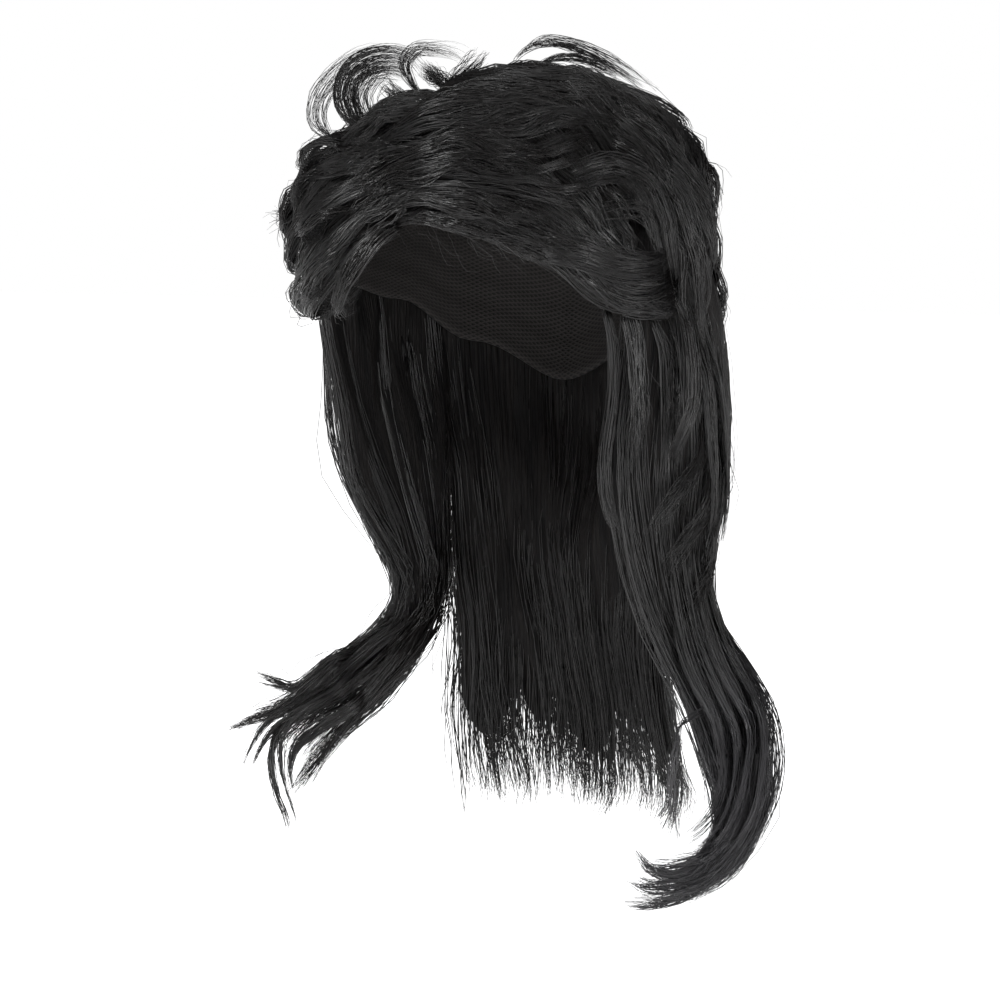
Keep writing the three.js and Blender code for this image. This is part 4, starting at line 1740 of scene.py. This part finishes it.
def temple_lobes() -> tuple[HairGroup, ...]:
    """Rounded locks that turn under at the right temple.

    Returns:
        The lobes, the edge beside the face, and thin strands across the parting.
    """
    lobes = (
        LockPath("lobe_high", 8, (
            (-15, -1, 45, -4, 10), (-21, -2, 46, -3, 16), (-36, -1, 55, -4, 19), (-42, 2, 55, -4, 28),
            (-45, 3, 50, -3, 34), (-47, 3, 46, -3, 35),
        )),
        LockPath("lobe_second", 8, (
            (-13, -1, 38, -3, 9), (-19, -1, 39, -3, 16), (-30, -1, 40, -3, 20), (-47, 0, 47, -4, 24),
            (-49, 3, 41, -2, 29), (-51, 3, 36, -2, 34),
        )),
        LockPath("lobe_third", 8, (
            (-10, 1, 31, -3, 9), (-15, 1, 31, -3, 16), (-22, 1, 28, -3, 20), (-30, 1, 25, -3, 24),
            (-38, 0, 21, -3, 25), (-55, 0, 23, -5, 24),
        )),
        LockPath("lobe_low", 8, (
            (-7, 2, 27, -3, 9), (-11, 2, 24, -2, 15), (-17, 2, 20, -2, 18), (-23, 2, 14, -2, 22),
            (-31, 2, 8, -3, 22), (-40, 2, 2, -3, 20), (-50, 1, -4, -4, 15),
        )),
        LockPath("temple_edge", 6, (
            (-3, 3, 25, -2, 4), (-7, 3, 21, -1, 10), (-12, 2, 15, -1, 14), (-18, 2, 8, -2, 16),
            (-24, 2, 1, -2, 15), (-31, 2, -3, -2, 12),
        )),
    )
    across = (
        LockPath("across_high", 5, (
            (2, 0, 41, -3, 26), (-5, 0, 41, -3, 22), (-13, 1, 40, -3, 19), (-22, 2, 39, -3, 20),
            (-27, 3, 34, -3, 24),
        )),
        LockPath("across_middle", 5, (
            (7, 0, 35, -4, 26), (-1, 0, 35, -4, 23), (-9, 2, 34, -4, 20), (-16, 4, 30, -3, 21),
            (-20, 4, 23, -2, 25),
        )),
        LockPath("across_low", 5, (
            (7, 1, 29, -3, 24), (1, 2, 27, -3, 21), (-5, 2, 25, -3, 18), (-13, 3, 21, -3, 19),
            (-18, 3, 15, -2, 22),
        )),
    )
    nap = Nap(
        4, 28, points=12, lean=0.3, wave=1.0, wave_length=40, feathered=0.15, flick=0.0, inner=0.15,
        spread=3.5, tip_spread=0.5, gather=0.2, uneven=0.06, curl=5.0, curl_from=0.8, curl_turn=200,
        ragged=0.16,
    )
    thin = Nap(
        5, 9, radius=0.2, wave=1.0, wave_length=46, feathered=0.0, flick=0.0, inner=0.3, spread=5.0,
        tip_spread=0.9, stray=1.8, gather=0.0, uneven=0.35, ragged=0.35,
    )
    return lay_locks(lobes, nap, 161) + lay_locks(across, thin, 167)


def crown_locks() -> tuple[HairGroup, ...]:
    """Locks that fall from the top of the crown down its left side.

    Returns:
        The locks, from the highest to the lowest.
    """
    paths = (
        LockPath("crown_top", 8, (
            (-9, -1, 65, 4, 14), (3, -1, 67, 4, 15), (16, -1, 68, 4, 20), (28, -2, 70, 4, 28),
            (37, -2, 77, 3, 33), (48, -2, 87, 4, 35), (58, -3, 102, 4, 36),
        )),
        LockPath("side_high", 8, (
            (38, -2, 68, 4, 32), (48, -2, 75, 5, 36), (58, -2, 82, 6, 38), (66, -2, 93, 7, 39),
        ), (
            (95, 3, 115, -64, 4), (101, 3, 110, -86, 4),
        ), end_thick=6),
        LockPath("side_middle", 8, (
            (46, -1, 65, 5, 34), (56, -1, 70, 6, 37), (66, -1, 75, 8, 38),
        ), (
            (88, 3, 115, -66, 4), (92, 3, 114, -88, 4), (97, 3, 107, -110, 5),
        ), end_thick=6),
        LockPath("side_low", 8, (
            (54, 0, 65, 5, 34), (63, 0, 65, 6, 36), (72, 0, 64, 9, 37),
        ), (
            (85, 3, 114, -79, 3), (89, 3, 112, -102, 5), (99, 3, 108, -130, 5),
        ), end_thick=6),
    )
    nap = Nap(
        5, 26, lean=0.4, wave=1.6, wave_length=50, feathered=0.3, flick=1.5, inner=0.15, spread=4.5,
        tip_spread=0.4, stray=1.2, gather=0.2,
    )
    return lay_locks(paths, nap, 171, 1.0)


def crown_right_locks() -> tuple[HairGroup, ...]:
    """Hair that fills the crown under the loose roll.

    Returns:
        The locks, from the highest to the lowest.
    """
    paths = (
        LockPath("under_roll_high", 8, (
            (-4, 2, 66, -3, 13), (-11, 1, 63, -3, 15), (-19, 2, 62, -3, 17), (-23, 2, 56, -3, 20),
            (-30, 1, 54, -4, 21),
        )),
        LockPath("under_roll_middle", 8, (
            (-4, 2, 61, -3, 14), (-12, 2, 58, -3, 17), (-19, 2, 56, -3, 19), (-23, 2, 51, -3, 21),
            (-28, 2, 47, -3, 23),
        )),
        LockPath("under_roll_low", 8, (
            (-5, 1, 57, -3, 15), (-13, 2, 54, -3, 18), (-19, 3, 51, -2, 20), (-22, 3, 46, -2, 23),
            (-25, 3, 41, -1, 26),
        )),
    )
    nap = Nap(
        4, 22, lean=0.4, wave=1.4, wave_length=46, feathered=0.3, flick=1.0, inner=0.2, spread=4.5,
        tip_spread=0.5, stray=1.4, gather=0.1,
    )
    return lay_locks(paths, nap, 176, 0.8)


def left_locks() -> tuple[HairGroup, ...]:
    """Locks that lie apart from the left lengths.

    Returns:
        The glossy lock, upright and slanting ones, long ones, the lock before the ear, a stray, and the tips.
    """
    glossy = LockPath("glossy", 6, hanging=(
        (83, 2, 103, -83, 1), (85, 2, 109, -107, 0), (85, 2, 113, -130, 0), (85, 2, 113, -151, 0),
        (83, 2, 110, -165, -1), (82, 2, 104, -179, -1),
    ))
    upright = (
        LockPath("upright_back", 5, hanging=(
            (81, 4, 99, -101, 2), (84, 4, 101, -124, 2), (85, 4, 102, -149, 1), (86, 4, 101, -175, 0),
            (84, 4, 98, -203, -1),
        )),
        LockPath("upright_front", 5, hanging=(
            (72, 3, 96, -101, 1), (74, 3, 96, -123, 1), (75, 3, 96, -148, 0), (75, 3, 95, -171, 0),
            (74, 4, 92, -194, 0),
        )),
    )
    slants = (
        LockPath("slant_high", 5, hanging=(
            (100, 3, 110, -165, -4), (96, 2, 108, -183, -4), (89, 2, 103, -198, -5), (83, 3, 98, -210, -4),
            (80, 3, 93, -225, -3),
        )),
        LockPath("slant_middle", 5, hanging=(
            (104, 3, 113, -187, -2), (101, 3, 110, -208, -4), (95, 2, 104, -223, -5), (89, 3, 98, -236, -4),
            (86, 3, 93, -252, -3),
        )),
        LockPath("slant_low", 5, hanging=(
            (107, 3, 114, -217, 1), (108, 3, 111, -238, -2), (103, 2, 106, -255, -5),
            (96, 3, 101, -269, -4), (94, 3, 97, -287, -2),
        )),
    )
    longs = (
        LockPath("long_inner", 6, hanging=(
            (94, 4, 103, -99, 3), (99, 4, 108, -126, 3), (101, 4, 110, -152, 2), (105, 4, 110, -179, 1),
            (105, 4, 111, -208, 0), (106, 4, 108, -238, 0),
        )),
        LockPath("long_outer", 6, hanging=(
            (102, 3, 107, -100, 2), (105, 3, 111, -127, 2), (108, 3, 114, -153, 2), (112, 3, 115, -181, 2),
            (113, 3, 115, -210, 0), (111, 3, 112, -239, -1),
        )),
    )
    tail = (
        LockPath("tail_outer", 6, hanging=(
            (104, 3, 108, -211, 4), (111, 3, 108, -242, 3), (113, 3, 113, -272, 1), (112, 3, 121, -295, -1),
            (111, 3, 132, -316, -3), (106, 2, 138, -335, -6), (97, 2, 142, -353, -6),
            (91, 2, 141, -371, -6), (85, 1, 136, -385, -7), (78, 1, 131, -393, -7),
        )),
        LockPath("tail_middle", 6, hanging=(
            (98, 3, 105, -206, 3), (104, 3, 105, -240, 2), (107, 3, 108, -270, 1), (107, 3, 115, -293, 1),
            (108, 3, 125, -315, -1), (105, 2, 132, -334, -5), (96, 2, 136, -353, -6),
            (90, 2, 136, -370, -6), (83, 1, 133, -381, -7), (77, 1, 128, -387, -8),
        )),
        LockPath("tail_third", 6, hanging=(
            (93, 3, 103, -208, 2), (98, 4, 102, -241, 2), (101, 4, 104, -269, 2), (103, 3, 110, -292, 2),
            (105, 3, 118, -314, 0), (103, 2, 125, -334, -5), (95, 2, 130, -353, -6), (89, 2, 131, -368, -7),
            (82, 1, 129, -378, -8), (75, 1, 125, -381, -8),
        )),
        LockPath("tail_inner", 6, hanging=(
            (89, 4, 100, -212, 2), (93, 4, 99, -243, 2), (95, 4, 101, -270, 2), (98, 3, 105, -292, 3),
            (103, 3, 112, -315, 1), (101, 3, 118, -336, -4), (94, 2, 125, -353, -6), (88, 1, 125, -367, -7),
            (80, 1, 125, -374, -8), (73, 0, 123, -375, -8),
        )),
    )
    before_ear = LockPath("before_ear", 4, hanging=(
        (66, 1, 88, -98, 1), (69, 1, 88, -118, 0), (70, 1, 87, -143, 0), (68, 1, 86, -168, 0),
        (67, 1, 86, -187, 0), (69, 1, 87, -205, 1), (73, 1, 88, -217, 1),
    ))
    stray = pointed_lock("stray", 1, (
        (95, 112, -314), (82, 114, -317), (77, 115, -331), (76, 115, -348), (79, 114, -365), (84, 112, -382),
    ))
    hooks = (
        pointed_lock("tip_low", 2, (
            (102, 140, -338), (96, 141, -362), (90, 136, -383), (80, 127, -398), (71, 118, -403),
            (62, 110, -399),
        )),
        pointed_lock("tip_middle", 2, (
            (100, 134, -340), (95, 134, -363), (89, 132, -381), (79, 125, -392), (70, 118, -393),
            (64, 113, -386),
        )),
        pointed_lock("tip_upper", 2, (
            (99, 124, -340), (94, 126, -362), (88, 128, -377), (79, 124, -386), (70, 118, -384),
            (65, 114, -370),
        )),
    )
    sleek = Nap(
        5, 26, points=12, wave=0.6, wave_length=120, feathered=0.0, flick=0.0, inner=0.05, spread=3.0,
        tip_spread=0.5, stray=0.6, gather=0.1, uneven=0.1,
    )
    straight = Nap(
        5, 14, wave=1.0, wave_length=110, feathered=0.1, flick=0.0, inner=0.2, spread=4.0, tip_spread=0.8,
        stray=1.6, gather=0.0, uneven=0.3,
    )
    slanting = replace(
        straight, clumps=6, strands=7, radius=0.2, wave=1.2, wave_length=100, feathered=0.2, spread=5.0,
        stray=2.0,
    )
    flowing = Nap(
        5, 20, points=15, wave=1.0, wave_length=120, feathered=0.15, flick=0.0, inner=0.15, spread=4.0,
        tip_spread=0.4, stray=1.0, gather=0.1, uneven=0.12, ragged=0.22,
    )
    slim = Nap(3, 18, points=13, wave=1.0, wave_length=120, feathered=0.0, inner=0.3, spread=2.5, stray=1.2)
    thin = replace(slim, clumps=2, strands=9, radius=0.2, wave=1.5, wave_length=90, spread=2.0, stray=2.0)
    tips = Nap(
        4, 18, points=12, wave=1.2, wave_length=90, feathered=0.0, flick=0.0, inner=0.4, spread=5.0,
        tip_spread=0.15, stray=1.4,
    )
    return (
        glossy.lock(sleek, 51), *lay_locks(upright, straight, 52), *lay_locks(slants, slanting, 181),
        *lay_locks(longs + tail, flowing, 185),
        before_ear.lock(slim, 54), stray.lock(thin, 55), *lay_locks(hooks, tips, 57),
    )


def right_locks() -> tuple[HairGroup, ...]:
    """Pointed locks in which the right lengths end.

    Returns:
        The locks, from the highest tip to the lowest.
    """
    tips = Nap(
        3, 20, points=12, wave=1.2, wave_length=80, feathered=0.0, flick=0.0, inner=0.4, spread=4.0,
        tip_spread=0.12, stray=1.4,
    )
    paths = (
        (
            (-97, 80, -290), (-91, 88, -297), (-85, 94, -299),
            (-82, 111, -314), (-81, 125, -312), (-80, 136, -308),
        ),
        (
            (-98, 78, -291), (-91, 90, -300), (-85, 92, -303), (-82, 108, -319),
            (-80, 123, -329), (-79, 137, -334), (-78, 150, -340),
        ),
        (
            (-98, 77, -293), (-91, 88, -304), (-85, 93, -314), (-81, 112, -325),
            (-80, 125, -335), (-79, 132, -346), (-78, 137, -358),
        ),
        (
            (-99, 74, -296), (-92, 86, -309), (-85, 90, -316), (-82, 108, -327), (-80, 120, -339),
            (-79, 122, -354), (-78, 119, -369), (-78, 114, -383), (-78, 112, -396),
        ),
        (
            (-100, 70, -301), (-92, 81, -318), (-85, 85, -324), (-82, 101, -333),
            (-80, 113, -345), (-79, 116, -359), (-79, 113, -374),
        ),
    )
    return lay_locks(tuple(pointed_lock("tip", 1, path) for path in paths), tips, 61)


def back_fill() -> tuple[HairGroup, ...]:
    """Finer hair that closes the ends of the back lengths.

    Returns:
        The one broad lock.
    """
    stations = (
        Hanging(180, 47, 83, 0, -235, 0, 8),
        Hanging(180, 45, 86, 0, -290, 0, 10),
        Hanging(180, 43, 97, 0, -345, 0, 12),
        Hanging(180, 41, 104, 0, -385, 0, 10),
        Hanging(180, 40, 97, 0, -408, 0, 6),
    )
    nap = Nap(
        34, 14, points=9, radius=0.28, wave=2.0, wave_length=120, feathered=0.0, inner=0.6, spread=7.0,
        tip_spread=0.9, stray=2.0, gather=0.0, uneven=0.15,
    )
    return (single_lock("ends", stations, nap, 191),)


def hairline_wisps() -> tuple[HairGroup, ...]:
    """Fine hairs that leave the short layer.

    Returns:
        A tuft at the crown, and a few single hairs below the front hairline.
    """
    tuft = LockPath("tuft", 8, (
        (-10, 2, 84, -3, 8, 2), (-15, 1, 83, -3, 16, 1), (-18, 1, 83, -3, 23, 1), (-20, 1, 83, -3, 29, 0),
    ))
    few = (
        OnHead(12, 18, 27, 0, 6, 0, 3),
        OnHead(17, 20, 20, 0, 9, 0, 4),
        OnHead(26, 20, 13, 0, 9, 0, 5),
        OnHead(34, 20, 12, 0, 6, 0, 5),
    )
    fine = Nap(
        12, 6, points=13, radius=0.13, wave=2.5, wave_length=40, feathered=0.0, flick=0.0, inner=0.5,
        spread=4.0, tip_spread=1.2, stray=3.0, loose=0.0, gather=0.0, uneven=0.4,
    )
    sparse = replace(
        fine, clumps=8, strands=2, points=12, radius=0.1, wave=2.0, wave_length=50, spread=5.0,
        tip_spread=1.4, uneven=0.5,
    )
    return tuft.lock(fine, 72), single_lock("single_hairs", few, sparse, 73)


def loose_curls() -> list[LooseCurl]:
    """The see-through curls over the crown.

    Returns:
        The curls.
    """
    airy = Nap(
        26, 6, points=16, radius=0.16, spread=1.6, tip_spread=1.2, wave=0.8, wave_length=70, feathered=0.0,
        flick=0.0, stray=1.6, loose=0.0, gather=0.0, uneven=0.12, fill=True,
    )
    sparse = replace(airy, clumps=13, strands=4, radius=0.13, spread=1.8, stray=1.8, uneven=0.3)
    arching = replace(
        airy, clumps=12, strands=5, radius=0.14, spread=1.4, tip_spread=0.8, wave=0.6, stray=1.4, ragged=0.3
    )
    tufted = replace(
        airy, clumps=12, points=10, radius=0.15, spread=2.0, tip_spread=1.0, wave=0.5, wave_length=60,
        uneven=0.45,
    )
    roll = LockPath("roll", 13, (
        (-35, -4, 63, 6, 11, -3), (-36, -4, 65, 5, 25, -2), (-35, -4, 68, 5, 36, -2),
        (-32, -3, 72, 4, 42, -1), (-27, -3, 76, 4, 40, -1), (-22, -3, 78, 5, 32, -1),
        (-20, -3, 79, 5, 21, -1),
    ))
    arcs = (
        LockPath("roll_outer", 9, (
            (-42, -4, 58, 5, 23, -2), (-42, -3, 61, 4, 38, -1), (-39, -3, 65, 4, 45, -1),
            (-34, -3, 70, 4, 47, -1), (-28, -3, 75, 4, 45, 0), (-23, -3, 78, 4, 36, 0),
        )),
        LockPath("roll_inner", 10, (
            (-31, -3, 65, 5, 10, -3), (-32, -3, 67, 4, 22, -3), (-31, -3, 70, 4, 30, -2),
            (-28, -3, 74, 4, 33, -1), (-25, -3, 76, 4, 31, 0), (-23, -3, 77, 4, 23, 0),
        )),
        LockPath("ring", 5, (
            (-21, -1, 78, 4, 11, -2), (-23, -2, 79, 3, 25, -2), (-23, -2, 81, 3, 33, -1),
            (-20, -2, 83, 3, 36, -1), (-16, -2, 85, 3, 33, 0), (-11, -2, 87, 3, 27, -1),
            (-8, -2, 88, 3, 21, -1),
        )),
    )
    tufts = (
        LockPath("hook", 6, (
            (-22, 2, 74, -3, 10, 1), (-25, 2, 73, -3, 18, 1), (-26, 2, 73, -3, 25, 1),
            (-27, 2, 73, -2, 33, 1),
        )),
        LockPath("tuft", 5, (
            (-12, 1, 83, -3, 11, 2), (-16, 1, 83, -3, 18, 1), (-18, 1, 83, -3, 24, 0),
            (-20, 1, 83, -3, 29, 0),
        )),
        LockPath("spikes", 8, (
            (-15, 3, 83, -3, 12, 0), (-10, 2, 87, -3, 17, 1), (-6, 2, 89, -3, 22, 2),
            (-4, 1, 91, -3, 27, 2),
        )),
    )
    arches = (
        LockPath("arch_outer", 5, (
            (3, -2, 92, 2, 14, -2), (4, -2, 94, 2, 24, -1), (7, -2, 96, 2, 31, -1), (11, -1, 98, 2, 35, -1),
            (17, -1, 101, 2, 37, -1), (24, -1, 104, 2, 38, -1), (31, -1, 108, 3, 39, -1),
            (38, -1, 111, 3, 40, -1),
        )),
        LockPath("arch_inner", 5, (
            (9, -2, 92, 2, 14, -2), (11, -2, 95, 2, 22, -2), (14, -2, 99, 2, 29, -1),
            (19, -1, 102, 2, 33, -1), (25, -1, 104, 3, 35, -1), (31, -1, 107, 3, 37, -1),
        )),
    )
    right = (roll.lock(airy, 31), *lay_locks(arcs, sparse, 32), *lay_locks(tufts, tufted, 36))
    return [LooseCurl("loop_right", right), LooseCurl("loop_left", lay_locks(arches, arching, 41))]


def corners() -> list[list[float]]:
    """The shown object's lowest and highest corner, as plain numbers."""
    return [list(map(float, corner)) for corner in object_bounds()]


def main() -> None:
    """Builds the wig and its studio in order."""
    logging.basicConfig(level=logging.INFO, format="%(name)s: %(message)s")
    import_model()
    strand_look, mass_look = STRAND_FINISH.make(), MASS_FINISH.make()
    short_look, cap_look = SHORT_FINISH.make(), CapFinish().make()
    pieces = Cap().build(cap_look) + ShortHair(wisps=hairline_wisps()).build(short_look, strand_look)
    for curl in loose_curls():
        pieces += curl.build(strand_look)
    for group in hair_groups():
        pieces += group.build(strand_look, mass_look)
    total = 0
    for piece in pieces:
        count = sum(len(face.vertices) - 2 for face in piece.data.polygons)
        total += count
        LOG.info("%s: %d triangles", piece.name, count)
    LOG.info("all pieces: %d triangles", total)
    Studio().build()


if __name__ == "__main__":
    main()
